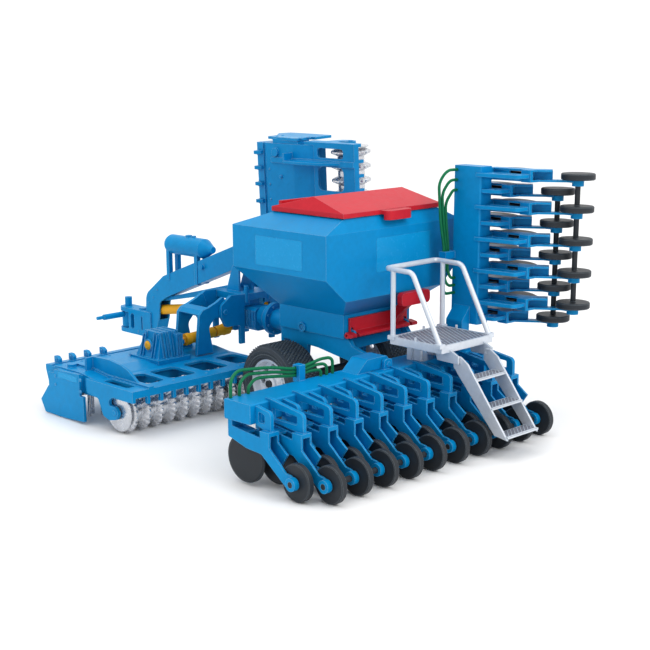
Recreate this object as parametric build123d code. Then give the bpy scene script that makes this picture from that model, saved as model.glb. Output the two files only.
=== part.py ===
from build123d import *
from math import atan2, cos, degrees, hypot, radians, sin
import os

# Toy seed drill at 1:16, millimetres. X is the machine's right, Y is forward to the tractor, Z is up.
# Inside this file Y is 0 at the rear press wheels' axle and Z is 0 on the ground. The finished pieces
# are moved so that the origin lies under the middle of the whole toy.

# Fits
RUN_FIT = 0.05          # radial clearance of a turning pin in its bore
SIDE_FIT = 0.4          # side clearance of a knuckle between its lugs
SEAT_GAP = 0.3          # gap left between curved pieces that only rest near each other

# Coulter rows: thirty coulters, alternately in the rear row (a) and the front row (b)
ROW_PITCH = 12.5
COULTERS_PER_SECTION = 10
ROW_STEP = 18.3         # the front row's wheels stand this far ahead of the rear row's
WORKING_HALF = ROW_PITCH * COULTERS_PER_SECTION * 3 / 2
SECTION_HALF = ROW_PITCH * COULTERS_PER_SECTION / 2

# Press wheels and their rods
PRESS_R = 13.2
PRESS_T = 5.0
PRESS_BEVEL = 0.7
ROD_R = 2.1

# Coulter arm, seen from the side; y counts from its own press wheel's axle
FORK_HALF = 4.75        # outside of the fork's two flanges
FLANGE_T = 1.6
ARM_T = 3.0
ARM_REAR_Y = 24.5
ARM_TOP_Z = 56.0
ARM_RISE = 0.15         # slope of the arm's top edge
ARM_LOW_Z = 43.0
ARM_HOOK = 4.0          # how far the arm's hook lies on top of the bar
SLOT_LOW_Z = 47.5
SLOT_HIGH_Z = 53.5
FORK_FRONT_Y = 32.0
BOSS_R = 4.6
BOSS_OUT = 2.7          # how far the wheel boss stands out of the left flange
LINK_FRONT_Y = 64.7
LINK_END = 4.2

# Disc openers, a V pair in each coulter
DISC_R = 17.5
DISC_T = 1.0
DISC_Y = 50.0
DISC_Z = 19.5
DISC_TOE = 4.0          # degrees that each disc turns from straight ahead
DISC_NIP = 0.25         # half the gap between the two discs at their closest point
STEM_T = 1.2
DISC_PIN_R = 1.5

# Coulter bar
BAR_REAR = 58.0
BAR_FRONT = 85.0
BAR_LOW = 45.5
BAR_TOP = 59.5
BAR_GAP = 0.5           # between the middle bar and a wing's bar

# Coulter wing hinge, on a line along Y
WING_HINGE_X = 47.1
WING_HINGE_Z = 63.1
WING_FOLD = 89.0
KNUCKLE_R = 3.3
HINGE_PIN_R = 1.5
HINGE_LUG_T = 3.0

# Hopper
HOPPER_HALF = 76.0
HOPPER_REAR = 98.3
HOPPER_FRONT = 204.0
HOPPER_TOP = 158.3
HOPPER_KNEE = 124.6     # the sides slope inwards below this height
HOPPER_KNEE_REAR = 106.1
HOPPER_WAIST = 90.6
BOX_HALF = 38.0
BOX_REAR = 118.0
BOX_FRONT = 191.5
BOX_LOW = 72.0
HOPPER_WALL = 1.8
ROOF_HALF = 53.5
ROOF_REAR = 102.5
ROOF_FRONT = 179.0
ROOF_TOP = 168.5
RIM_LIP = 3.0           # width of the roof's flat rim round the filling hole
OUTLET_HALF = 28.0

# Lid
LID_HALF = 55.0
LID_REAR = 101.0
LID_FRONT = 180.6
LID_EDGE = 3.6
LID_GAP = 0.4
LID_WALL = 1.6
RIDGE_HALF = 50.0
RIDGE_Y = 138.0
RIDGE_Z = 182.7
LID_HINGE_Y = 183.4
LID_HINGE_Z = 171.4
LID_HINGE_R = 2.2
LID_PIN_R = 1.0
HINGE_BAR_HALF = 47.3
HINGE_BAR_TOP = 3.9     # above the lid's edge
HANDLE_HALF = 14.0
HANDLE_REAR = 92.5
HANDLE_LOW = 164.8

# Outlet flap, hinged along its lower edge
FLAP_HINGE_Y = 115.0
FLAP_HINGE_Z = 75.0
FLAP_PIN_R = 1.0
FLAP_TOP = 88.0
FLAP_HALF = 33.0
FLAP_LUG_X = 30.5
FLAP_LUG_T = 2.0
TRAY_HALF = 38.0
GRIP_X = 15.5
GRIP_HALF = 16.5
GRIP_LOW = 96.0
GRIP_TOP = 106.5
GRIP_REAR = 90.5

# Main wheels
TYRE_R = 32.0
TYRE_W = 32.0
TYRE_IN = 39.5          # inner side wall from the middle of the machine
RIM_R = 20.0
AXLE_Y = 172.0
AXLE_R = 3.0
HUB_R = 6.5
RAIL_X = 33.0           # side rails of the frame, either side of the middle
RAIL_T = 4.0

# Harrow wings
HARROW_HINGE_X = 36.8
HARROW_HINGE_Z = 73.5
HARROW_FOLD = 92.5
TROUGH_IN = 31.5
TROUGH_OUT = 172.0
TROUGH_REAR = 258.0
TROUGH_FRONT = 333.0
TROUGH_LOW = 24.0
TROUGH_TOP = 40.5
WING_ARM_T = 3.0
WING_BOX_X = 91.0       # middle of the wing's gearbox
WING_BOX_BASE = 14.0    # half of its width at the foot and at the top
WING_BOX_TOP = 8.0
WING_BOX_Z = 62.5
END_PLATE_T = 2.4
GUSSET_X = 157.0
TINE_ROTORS = 11
TINE_Y = 290.0
TINE_R = 1.3
TINE_SPREAD = 4.0

# Packer roller
ROLLER_Y = 233.0
RING_R = 17.5
DRUM_R = 12.0
RING_COUNT = 11
RING_BASE = 7.0
RING_TIP = 1.6
ROLLER_AXLE_R = 2.0
ROLLER_ARM_T = 3.0
COVER_TOP = 38.3
COVER_T = 2.2
BEAM_REAR = 208.6
BEAM_T = 3.0
BEAM_LOW = 32.5
WINDOWS = ((36.0, 57.6), (66.0, 92.0), (100.7, 126.6), (132.6, 153.6), (161.5, 170.0))  # inner and outer edge

# Drive shafts of the harrow wings
SHAFT_Y = 276.5
SHAFT_IN = (17.0, 55.5)         # x and z of the inner universal joint
SHAFT_OUT = (76.0, 52.0)        # x and z of the outer one, with the wing down
GUARD_R = 4.6
GUARD_BORE = 3.75
INNER_GUARD_R = 2.7
BELL_R = 5.2

# Carrier of the harrow wings
CARRIER_REAR = 262.0
CARRIER_FRONT = 300.0
CARRIER_TOP = 86.0
CHEEK_T = 3.0
HARROW_PIN_R = 1.6

# Drive line through the middle: neck, gearbox and guarded input shaft
DRIVE_Z = 66.0
NECK_R = 9.0
FLANGE_R = 14.0
GEARBOX_REAR = 253.0
GEARBOX_FRONT = 291.0
GEARBOX_HALF = 11.0
GEARBOX_LOW = 54.0
GEARBOX_TOP = 74.2
GEARBOX_RIBS = 9
INPUT_R = 4.6

# Drawbar and hitch
DRAWBAR_HALF = 6.5
LEG_WALL = 1.5
HEAD_HALF = 8.0
KINGPIN_Y = 453.5
KINGPIN_R = 3.5
HEAD_LOW = 24.0
HEAD_TOP = 48.5
FORK_PLATE = 4.2
TANK_R = 9.0
TANK_Z = 117.0
TANK_REAR = 333.0       # where the barrel gives way to the conical nose
TANK_FRONT = 384.6
YOKE_R = 6.6
LINK_PIN_R = 2.8
LINK_TIP_R = 1.7
LINK_PIN_OUT = 30.0
LINK_TIP_OUT = 37.5
LINK_PIN_Z = 41.0

# Platform, railing and ladder
DECK_HALF = 29.5
DECK_REAR = 25.2
DECK_FRONT = 76.7
DECK_Z = 79.4
DECK_T = 2.0
APRON = 6.0
RAIL_R = 2.0
RAIL_TOP = 131.0
RAIL_INSET = 1.0        # from the deck's side edge to the middle of the rail
LADDER_HALF = 18.5
LADDER_T = 1.8
LADDER_HINGE_Y = 20.0
LADDER_HINGE_Z = 68.5
LADDER_FOOT_Y = -28.0
LADDER_FOOT_Z = 17.0
LADDER_W = 12.0

# Hoses
HOSE_R = 1.15
HOSES = 3
HOSE_STEP = 2.5         # from one hose to the next in the clip
CLIP_X = 116.5
CLIP_LOW = 62.2


def plate_x(outline, middle, thick, radii=0):
    """Flat plate with its outline in (y, z) and its thickness along X."""
    points = [(0, y, z) for y, z in outline]
    face = make_face(FilletPolyline(*points, radius=radii, close=True))
    return Pos(middle - thick / 2, 0, 0) * extrude(face, amount=thick, dir=(1, 0, 0))


def plate_y(outline, middle, thick, radii=0):
    """Flat plate with its outline in (x, z) and its thickness along Y."""
    points = [(x, 0, z) for x, z in outline]
    face = make_face(FilletPolyline(*points, radius=radii, close=True))
    return Pos(0, middle - thick / 2, 0) * extrude(face, amount=thick, dir=(0, 1, 0))


def plate_z(outline, low, high, radii=0):
    """Flat plate with its outline in (x, y), from one height to another."""
    points = [(x, y, 0) for x, y in outline]
    face = make_face(FilletPolyline(*points, radius=radii, close=True))
    return Pos(0, 0, low) * extrude(face, amount=high - low, dir=(0, 0, 1))


def block(x, y, z):
    """Box between two values on each axis."""
    size = [abs(b - a) for a, b in (x, y, z)]
    middle = [(a + b) / 2 for a, b in (x, y, z)]
    return Pos(*middle) * Box(*size)


def rod(start, end, radius):
    """Round bar from one point to another."""
    line = Vector(*end) - Vector(*start)
    place = Plane(origin=start, z_dir=line)
    return place * Cylinder(radius, line.length, align=(Align.CENTER, Align.CENTER, Align.MIN))


def rod_x(x, y, z, radius):
    return rod((x[0], y, z), (x[1], y, z), radius)


def rod_y(x, y, z, radius):
    return rod((x, y[0], z), (x, y[1], z), radius)


def rod_z(x, y, z, radius):
    return rod((x, y, z[0]), (x, y, z[1]), radius)


def spun_x(profile, y, z):
    """Solid of revolution about a line along X; the profile is a list of (x, radius)."""
    face = make_face(Polyline(*[(x, 0, r) for x, r in profile], close=True))
    return Pos(0, y, z) * revolve(face, Axis.X)


def spun_y(profile, x, z):
    """Solid of revolution about a line along Y; the profile is a list of (y, radius)."""
    face = make_face(Polyline(*[(0, y, r) for y, r in profile], close=True))
    return Pos(x, 0, z) * revolve(face, Axis.Y)


def mirrored(shape):
    return mirror(shape, Plane.YZ)


def folded(shape, hinge_x, hinge_z, angle):
    """Right-hand wing swung up about its hinge."""
    return shape.rotate(Axis((hinge_x, 0, hinge_z), (0, -1, 0)), angle)


def together(pieces):
    """Separate solids of one node."""
    solids = []
    for piece in pieces:
        solids.extend(piece.solids())
    return Compound(children=solids)


# Coulters

def arm_top(bar_rear):
    """Upper plate of a coulter arm, hooked over the bar; bar_rear is the bar's rear face."""
    top = ARM_TOP_Z + ARM_RISE * (bar_rear - ARM_REAR_Y)
    outline = [(ARM_REAR_Y, ARM_LOW_Z), (ARM_REAR_Y, ARM_TOP_Z), (bar_rear, top)]
    if top > BAR_TOP:
        outline += [(bar_rear + ARM_HOOK, top), (bar_rear + ARM_HOOK, BAR_TOP), (bar_rear, BAR_TOP)]
    outline += [(bar_rear, BAR_LOW), (FORK_FRONT_Y, ARM_LOW_Z)]
    radii = [0, 4] + [0] * (len(outline) - 2)
    plate = plate_x(outline, 0, ARM_T, radii)
    slot_rear = ARM_REAR_Y + 6
    slot_front = bar_rear - 3
    if slot_front - slot_rear > 6:
        slot = [(slot_rear, SLOT_LOW_Z), (slot_rear, SLOT_HIGH_Z)]
        slot += [(slot_front, SLOT_HIGH_Z + 1.5), (slot_front, SLOT_LOW_Z)]
        plate -= plate_x(slot, 0, ARM_T + 1, 1.2)
    return plate


def fork():
    """Channel that drops from the arm to the wheel boss, and the link ahead of it."""
    high = ARM_LOW_Z
    side = [(23.0, high), (FORK_FRONT_Y, high), (FORK_FRONT_Y, 38.0), (LINK_FRONT_Y, 41.5)]
    side += [(LINK_FRONT_Y, 33.0), (46.0, 28.0), (31.0, 27.0), (5.0, 8.0), (-1.0, 8.6)]
    side += [(-4.6, 13.2), (2.0, 18.4), (7.0, 19.0), (23.0, 32.0)]
    short = side[:7] + [(20.0, 18.8), (13.5, 28.0), (23.0, 35.0)]
    flange_mid = FORK_HALF - FLANGE_T / 2
    long_radii = [1, 0, 0, 1, 1, 0, 4, 2, 2, 2, 2, 0, 0]
    left = plate_x(side, -flange_mid, FLANGE_T, long_radii)
    right = plate_x(short, flange_mid, FLANGE_T, 0)
    head = block((-FORK_HALF, FORK_HALF), (23.0, FORK_FRONT_Y), (ARM_LOW_Z - 3, ARM_LOW_Z))
    web_outline = [(FORK_FRONT_Y, ARM_LOW_Z), (FORK_FRONT_Y - 2.2, ARM_LOW_Z), (FORK_FRONT_Y - 2.2, 29.5)]
    web_outline += [(18.6, 20.4), (20.0, 18.8), (31.0, 27.0), (FORK_FRONT_Y, 28.0)]
    web = plate_x(web_outline, 0, 2 * FORK_HALF - 2)
    web -= block((-2.6, 2.6), (FORK_FRONT_Y - 4, FORK_FRONT_Y + 1), (30.5, 37.0))
    boss = rod_x((-FORK_HALF - BOSS_OUT, -FORK_HALF + FLANGE_T), 0, PRESS_R, BOSS_R)
    strap = block((-FORK_HALF, FORK_HALF), (LINK_FRONT_Y - LINK_END, LINK_FRONT_Y), (36.0, BAR_LOW))
    roof = block((-FORK_HALF, FORK_HALF), (DISC_Y - 4, LINK_FRONT_Y), (37.8, 39.6))
    stem = block((-STEM_T / 2, STEM_T / 2), (DISC_Y - 3, DISC_Y + 2), (DISC_Z - 2.8, 38.6))
    shape = left + right + head + web + boss + strap + roof + stem
    bore = rod_x((-10, 10), 0, PRESS_R, ROD_R + RUN_FIT)
    pin_bore = rod_x((-1, 1), DISC_Y, DISC_Z, DISC_PIN_R + RUN_FIT)
    return shape - bore - pin_bore


def disc_pair():
    """Two flat discs in a V, closest at the front, on one short pin."""
    edge = 1.8
    profile = [(DISC_T / 2, 0), (DISC_T / 2, DISC_R - edge), (-DISC_T / 2 + 0.2, DISC_R),
               (-DISC_T / 2, DISC_R)]
    profile += [(-DISC_T / 2, 0)]
    disc = spun_x(profile, 0, 0)
    offset = DISC_NIP + DISC_T / 2 + DISC_R * sin(radians(DISC_TOE))
    right = Pos(offset, DISC_Y, DISC_Z) * Rot(0, 0, -DISC_TOE) * disc
    pin = rod_x((-offset, offset), DISC_Y, DISC_Z, DISC_PIN_R)
    return right + mirrored(right) + pin


def coulter_rows(first_x, count):
    """Places of a section's coulters: x and the row's step forward, from left to right."""
    places = []
    for index in range(count):
        x = first_x + ROW_PITCH * index
        front_row = index % 2 == 0
        places.append((x, ROW_STEP if front_row else 0.0))
    return places


def coulter_arms(places):
    arm = {}
    for step in (0.0, ROW_STEP):
        arm[step] = arm_top(BAR_REAR - step) + fork()
    return together([Pos(x, step, 0) * arm[step] for x, step in places])


def disc_set(places):
    pair = disc_pair()
    return together([Pos(x, step, 0) * pair for x, step in places])


def press_gang(places, step):
    """Press wheels of one row on their common rod."""
    row = [x for x, row_step in places if row_step == step]
    half = PRESS_T / 2
    profile = [(-half, 0), (-half, PRESS_R - PRESS_BEVEL), (-half + PRESS_BEVEL, PRESS_R)]
    profile += [(half - PRESS_BEVEL, PRESS_R), (half, PRESS_R - PRESS_BEVEL), (half, 0)]
    wheel = spun_x(profile, step, PRESS_R)
    gang = rod_x((row[0] - FORK_HALF - BOSS_OUT, row[-1] + half), step, PRESS_R, ROD_R)
    for x in row:
        gang += Pos(x, 0, 0) * wheel
    return gang


def middle_bar():
    """Fixed middle of the coulter bar with the lugs and pins of both wing hinges."""
    bar = block((-SECTION_HALF + BAR_GAP / 2, SECTION_HALF - BAR_GAP / 2), (BAR_REAR, BAR_FRONT),
                (BAR_LOW, BAR_TOP))
    bar = fillet(bar.edges().filter_by(Axis.X), 1.2)
    for side in (-1, 1):
        x = side * WING_HINGE_X
        for y in (BAR_REAR + 5.5, BAR_FRONT - 1.5):
            outline = [(x - 5, BAR_TOP - 1), (x - 4, WING_HINGE_Z + 4), (x + 4, WING_HINGE_Z + 4),
                       (x + 5, BAR_TOP - 1)]
            bar += plate_y(outline, y, HINGE_LUG_T, [0, 2.5, 2.5, 0])
        bar += rod_y(x, (BAR_REAR + 4, BAR_FRONT), WING_HINGE_Z, HINGE_PIN_R)
    return bar


def wing_bar():
    """Right-hand wing's bar, unfolded, with the bracket that reaches in to the hinge."""
    inner = SECTION_HALF + BAR_GAP / 2
    bar = block((inner, WORKING_HALF), (BAR_REAR, BAR_FRONT), (BAR_LOW, BAR_TOP))
    bar = fillet(bar.edges().filter_by(Axis.X), 1.2)
    low = BAR_TOP + SEAT_GAP
    reach_rear = BAR_REAR + 5.5 + HINGE_LUG_T / 2 + SIDE_FIT
    reach_front = BAR_FRONT - 1.5 - HINGE_LUG_T / 2 - SIDE_FIT
    outline = [(WING_HINGE_X - KNUCKLE_R, low), (WING_HINGE_X - KNUCKLE_R, 69.0), (66.0, 69.0),
               (78.0, BAR_TOP - 1)]
    outline += [(inner + 0.5, BAR_TOP - 1), (inner + 0.5, low)]
    radii = [KNUCKLE_R - 0.2, 3, 3, 0, 0, 0]
    bracket = plate_y(outline, (reach_rear + reach_front) / 2, reach_front - reach_rear, radii)
    bore = rod_y(WING_HINGE_X, (reach_rear - 1, reach_front + 1), WING_HINGE_Z, HINGE_PIN_R + RUN_FIT)
    hose_top = CLIP_LOW + 2 * HOSE_R + HOSE_STEP * (HOSES - 1)
    clip = block((CLIP_X - 3, CLIP_X + 3), (BAR_FRONT - 3, BAR_FRONT + 2 * HOSE_R + 1.5),
                 (BAR_TOP - 1, hose_top + 1.5))
    clip -= block((CLIP_X - 4, CLIP_X + 4), (BAR_FRONT - RUN_FIT, BAR_FRONT + 2 * HOSE_R + RUN_FIT),
                  (CLIP_LOW - SEAT_GAP, hose_top + SEAT_GAP))
    return bar + (bracket - bore) + clip


def hose_route(index):
    """Route of one hose on the right-hand wing, unfolded, as (x, y, z); a higher one spans a lower one."""
    y = BAR_FRONT + HOSE_R
    foot_y = BAR_FRONT - 3
    outer = 168 + 8 * index
    inner = 98 - 6 * index
    in_clip = CLIP_LOW + HOSE_R + HOSE_STEP * index
    return [
        (outer, foot_y, BAR_TOP),
        (outer, foot_y, 64 + 4 * index),
        (outer - 10, y, 68 + 4.2 * index),
        (143, y, 66.5 + 3.4 * index),
        (CLIP_X + 6, y, in_clip),
        (CLIP_X - 6, y, in_clip),
        (inner + 7, y, 64 + 3.6 * index),
        (inner, foot_y, 64.5 + 3.6 * index),
        (inner, foot_y, BAR_TOP),
    ]


def hose(points):
    """Tube along straight runs joined by arcs as large as the runs allow."""
    radii = []
    for before, here, after in zip(points, points[1:], points[2:]):
        a = Vector(*here) - Vector(*before)
        b = Vector(*after) - Vector(*here)
        turn = radians(a.get_angle(b))
        radii.append(0.45 * min(a.length, b.length) / (sin(turn / 2) / cos(turn / 2)))
    path = FilletPolyline(*points, radius=radii)
    start = Plane(origin=points[0], z_dir=Vector(*points[1]) - Vector(*points[0]))
    return sweep(start * Circle(HOSE_R), path=path)


def hoses():
    return together([hose(hose_route(index)) for index in range(HOSES)])


# Hopper

def hopper_solid(inset, floor):
    """Hopper's outer form, or its hollow when inset is the wall."""
    half = HOPPER_HALF - inset
    rear = HOPPER_REAR + inset
    front = HOPPER_FRONT - inset
    box_half = BOX_HALF - inset
    across = [(-half, HOPPER_TOP), (-half, HOPPER_KNEE), (-box_half, HOPPER_WAIST), (-box_half, floor)]
    across += [(-x, z) for x, z in reversed(across)]
    along = [(rear, HOPPER_TOP), (rear, HOPPER_KNEE_REAR), (BOX_REAR + inset, HOPPER_WAIST)]
    along += [(BOX_REAR + inset, floor), (BOX_FRONT - inset, floor), (BOX_FRONT - inset, HOPPER_WAIST)]
    along += [(front, HOPPER_KNEE), (front, HOPPER_TOP)]
    depth = HOPPER_FRONT - HOPPER_REAR + 2
    wide = plate_y(across, (HOPPER_FRONT + HOPPER_REAR) / 2, depth)
    return wide & plate_x(along, 0, 2 * HOPPER_HALF + 2)


def rectangle_at(half, rear, front, z):
    return Plane(origin=(0, (rear + front) / 2, z)) * Rectangle(2 * half, front - rear)


def hopper_roof(inset, top):
    base = rectangle_at(HOPPER_HALF - inset, HOPPER_REAR + inset, HOPPER_FRONT - inset, HOPPER_TOP)
    rim = rectangle_at(ROOF_HALF - inset, ROOF_REAR + inset, ROOF_FRONT - inset, top)
    return loft([base, rim])


def hopper():
    outer = hopper_solid(0, BOX_LOW) + hopper_roof(0, ROOF_TOP)
    inner = hopper_solid(HOPPER_WALL, BOX_LOW + HOPPER_WALL) + hopper_roof(HOPPER_WALL,
                                                                           ROOF_TOP - HOPPER_WALL)
    mouth = block((-ROOF_HALF + RIM_LIP, ROOF_HALF - RIM_LIP), (ROOF_REAR + RIM_LIP, ROOF_FRONT - RIM_LIP),
                  (ROOF_TOP - 2 * HOPPER_WALL, ROOF_TOP + 1))
    outlet = block((-OUTLET_HALF, OUTLET_HALF), (BOX_REAR - 1, BOX_REAR + 2 * HOPPER_WALL),
                   (BOX_LOW + HOPPER_WALL, HOPPER_WAIST - 3))
    shell = outer - inner - mouth - outlet
    for x in (-30, 30):
        lug = plate_x([(LID_FRONT + 0.6, ROOF_TOP - 4.5), (LID_FRONT + 0.6, LID_HINGE_Z + 2),
                       (LID_HINGE_Y + 2.4, LID_HINGE_Z + 2), (ROOF_FRONT + 12, HOPPER_TOP + 2.2)], x, 3.0,
                      [0, 1.5, 1.8, 0])
        shell += lug - inner
        shell += rod_x((x - 4.5, x + 4.5), LID_HINGE_Y, LID_HINGE_Z, LID_PIN_R)
    for side in (-1, 1):
        x = side * FLAP_LUG_X
        lug = plate_x([(FLAP_HINGE_Y - 2.6, FLAP_HINGE_Z - 2.6), (FLAP_HINGE_Y - 2.6, FLAP_HINGE_Z + 3),
                       (BOX_REAR + 1, FLAP_HINGE_Z + 4), (BOX_REAR + 1, FLAP_HINGE_Z - 2.6)], x, FLAP_LUG_T,
                      [2, 2, 0, 0])
        shell += lug - inner
        reach = FLAP_LUG_T / 2 + SIDE_FIT + 2.6
        shell += rod_x((x - reach, x + reach), FLAP_HINGE_Y, FLAP_HINGE_Z, FLAP_PIN_R)
    return shell


def lid():
    """Hipped lid, hollow beneath, hinged along its front edge."""
    low = ROOF_TOP + LID_GAP
    top = low + LID_EDGE

    def form(inset):
        edge = rectangle_at(LID_HALF - inset, LID_REAR + inset, LID_FRONT - inset, low)
        rim = extrude(edge, amount=LID_EDGE - inset)
        gable = [(LID_REAR + inset, top - inset), (RIDGE_Y, RIDGE_Z - inset),
                 (LID_FRONT - inset, top - inset)]
        gable += [(LID_FRONT - inset, top - inset - 0.5), (LID_REAR + inset, top - inset - 0.5)]
        ends = [(-LID_HALF + inset, top - inset - 0.5), (-LID_HALF + inset, top - inset)]
        ends += [(-RIDGE_HALF + inset, RIDGE_Z - inset + 0.5), (RIDGE_HALF - inset, RIDGE_Z - inset + 0.5)]
        ends += [(LID_HALF - inset, top - inset), (LID_HALF - inset, top - inset - 0.5)]
        crown = plate_x(gable, 0, 2 * LID_HALF) & plate_y(ends, RIDGE_Y, 200)
        return rim + crown

    shell = form(0) - form(LID_WALL)
    grip = [(-HANDLE_HALF, LID_REAR + 0.5), (-HANDLE_HALF, HANDLE_REAR), (HANDLE_HALF, HANDLE_REAR)]
    grip += [(HANDLE_HALF, LID_REAR + 0.5)]
    handle = plate_z(grip, low, top - 0.5, [0, 5, 5, 0])
    hang = plate_z(grip, HANDLE_LOW, top - 0.5, [0, 5, 5, 0])
    handle += hang & block((-HANDLE_HALF, HANDLE_HALF), (HANDLE_REAR, HANDLE_REAR + 5.5), (HANDLE_LOW, top))
    stop = block((-HINGE_BAR_HALF, HINGE_BAR_HALF), (LID_FRONT - 2.5, LID_FRONT),
                 (top - 1, top + HINGE_BAR_TOP))
    shape = shell + handle + stop
    for x in (-30, 30):
        for side in (-1, 1):
            eye_x = x + side * 3.1
            eye = plate_x([(LID_FRONT - 1, LID_HINGE_Z - 2.2), (LID_FRONT - 1, LID_HINGE_Z + 2.2),
                           (LID_HINGE_Y + 2.2, LID_HINGE_Z + 2.2), (LID_HINGE_Y + 2.2, LID_HINGE_Z - 2.2)],
                          eye_x, 2.4, [0, 0, 2.1, 2.1])
            shape += eye - rod_x((eye_x - 2, eye_x + 2), LID_HINGE_Y, LID_HINGE_Z, LID_PIN_R + RUN_FIT)
    return shape


def flap():
    """Red outlet flap with its tray and lever, hinged along its lower edge."""
    front = BOX_REAR - SEAT_GAP
    shape = block((-FLAP_HALF, FLAP_HALF), (FLAP_HINGE_Y + 1, front), (FLAP_HINGE_Z, FLAP_TOP))
    shape += rod_x((-TRAY_HALF, TRAY_HALF), FLAP_HINGE_Y, FLAP_HINGE_Z, 2.2)
    lip = [(FLAP_HINGE_Y + 1, FLAP_HINGE_Z - 2.1), (FLAP_HINGE_Y + 1, FLAP_HINGE_Z + 2.6)]
    lip += [(FLAP_HINGE_Y - 6, FLAP_HINGE_Z + 1.4), (FLAP_HINGE_Y - 6, FLAP_HINGE_Z - 1.2)]
    shape += plate_x(lip, 0, 2 * TRAY_HALF, [0, 0, 1.2, 1.2])
    lever = [(front - 1.2, FLAP_HINGE_Z + 2), (front - 1.2, FLAP_TOP), (112.0, 91.0),
             (GRIP_REAR + 5, GRIP_TOP - 3)]
    lever += [(GRIP_REAR + 1, GRIP_TOP - 1), (GRIP_REAR + 0.5, GRIP_LOW + 3), (108.0, 85.0)]
    lever += [(112.5, FLAP_HINGE_Z + 2)]
    shape += plate_x(lever, GRIP_X, 4.0, [0, 0, 3, 0, 0, 0, 6, 0])
    grip = block((GRIP_X - GRIP_HALF, GRIP_X + GRIP_HALF), (GRIP_REAR, GRIP_REAR + 5), (GRIP_LOW, GRIP_TOP))
    shape += fillet(grip.edges().filter_by(Axis.Y), 3.5)
    shape -= rod_x((-TRAY_HALF - 1, TRAY_HALF + 1), FLAP_HINGE_Y, FLAP_HINGE_Z, FLAP_PIN_R + RUN_FIT)
    for side in (-1, 1):
        notch = FLAP_LUG_T / 2 + SIDE_FIT
        x = side * FLAP_LUG_X
        shape -= block((x - notch, x + notch), (FLAP_HINGE_Y - 7, BOX_REAR),
                       (FLAP_HINGE_Z - 3, FLAP_HINGE_Z + 5.5))
    return shape


# Chassis

def main_frame():
    """Side rails under the hopper, their cross members and the hangers of the axle."""
    seat = BOX_LOW - SEAT_GAP
    rail = [(BOX_FRONT, seat), (BOX_FRONT, 62), (150, 60), (112, 54), (BAR_FRONT, BAR_LOW),
            (BAR_FRONT, BAR_TOP)]
    rail += [(112, 66.5), (116, seat)]
    frame = None
    for side in (-1, 1):
        plate = plate_x(rail, side * RAIL_X, RAIL_T)
        frame = plate if frame is None else frame + plate
        hanger = [(AXLE_Y - 10, 62), (AXLE_Y - 6, TYRE_R - 6.5), (AXLE_Y + 6, TYRE_R - 6.5),
                  (AXLE_Y + 10, 62)]
        frame += plate_x(hanger, side * RAIL_X, RAIL_T, [0, 5, 5, 0])
    for y in (122.0, 160.0, BOX_FRONT - 2):
        frame += block((-RAIL_X, RAIL_X), (y - 2, y + 2), (62, 70))
    frame += block((-RAIL_X, RAIL_X), (BOX_FRONT, BOX_FRONT + 4), (DRIVE_Z - NECK_R, 84))
    axle_bore = rod_x((-40, 40), AXLE_Y, TYRE_R, AXLE_R)
    return frame - axle_bore


def harrow_carrier():
    """Cheeks that hold both wings' hinge pins, joined along the middle, with posts up to the drawbar."""
    x, z = HARROW_HINGE_X, HARROW_HINGE_Z
    cheek = [(GEARBOX_HALF - 2, 76.0), (GEARBOX_HALF - 2, CARRIER_TOP), (30.0, CARRIER_TOP + 1),
             (x + 4.5, z + 5.5)]
    cheek += [(x + 4.5, z - 4), (x - 1, 60.0), (GEARBOX_HALF + 9, 60.0), (GEARBOX_HALF + 9, 43.0)]
    cheek += [(GEARBOX_HALF + 4, 43.0), (GEARBOX_HALF + 4, 76.0)]
    radii = [0, 0, 3, 4, 4, 2, 3, 0, 0, 0]
    shape = block((-17, 17), (CARRIER_REAR, CARRIER_FRONT), (CARRIER_TOP - 6, CARRIER_TOP))
    for y in (CARRIER_REAR + CHEEK_T / 2, CARRIER_FRONT - CHEEK_T / 2):
        plate = plate_y(cheek, y, CHEEK_T, radii)
        shape += plate + mirrored(plate)
    pin_reach = CHEEK_T + SIDE_FIT + WING_ARM_T + SEAT_GAP
    for side in (-1, 1):
        shape += rod_y(side * x, (CARRIER_REAR, CARRIER_REAR + pin_reach), z, HARROW_PIN_R)
        shape += rod_y(side * x, (CARRIER_FRONT - pin_reach, CARRIER_FRONT), z, HARROW_PIN_R)
        post = [(276.3, CARRIER_TOP - 1), (276.6, 105.2), (284.6, 108.5), (293.7, CARRIER_TOP - 1)]
        shape += plate_x(post, side * (DRAWBAR_HALF + 1.15), 2.0)
        shape += rod_z(side * 12.3, CARRIER_REAR + 0.5, (78.5, 93.4), 2.0)
    strut = [(290, 83.0), (290, 88.6), (296, 89.0), (391, 65.0), (391, 61.8)]
    return shape + (plate_x(strut, 0, 5.0) - drawbar_arm())


def axle():
    reach = TYRE_IN + TYRE_W - 2
    bar = rod_x((-reach, reach), AXLE_Y, TYRE_R, AXLE_R)
    for side in (-1, 1):
        start = RAIL_X + RAIL_T / 2 + 0.2
        bar += rod_x((side * start, side * (TYRE_IN + 2.5)), AXLE_Y, TYRE_R, AXLE_R + 1.5)
    return bar


def drawbar_arm():
    """Gooseneck from the hopper's front to the head, its leg open at the rear for the input shaft."""
    outline = [(HOPPER_FRONT + 0.2, 155.5), (388.0, 86.4), (415.5, 66.0), (416.5, HEAD_TOP),
               (416.5, HEAD_LOW + 2)]
    outline += [(403.0, HEAD_LOW + 2), (396.3, 45.0), (394.3, 60.8), (382.0, 67.5), (294.0, 101.0)]
    outline += [(HOPPER_FRONT + 0.2, 134.7)]
    arm = plate_x(outline, 0, 2 * DRAWBAR_HALF, [0, 12, 12, 0, 0, 2, 8, 5, 5, 0, 0])
    inside = DRAWBAR_HALF - LEG_WALL
    return arm - block((-inside, inside), (386.0, 411.0), (43.0, 61.5))


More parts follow.
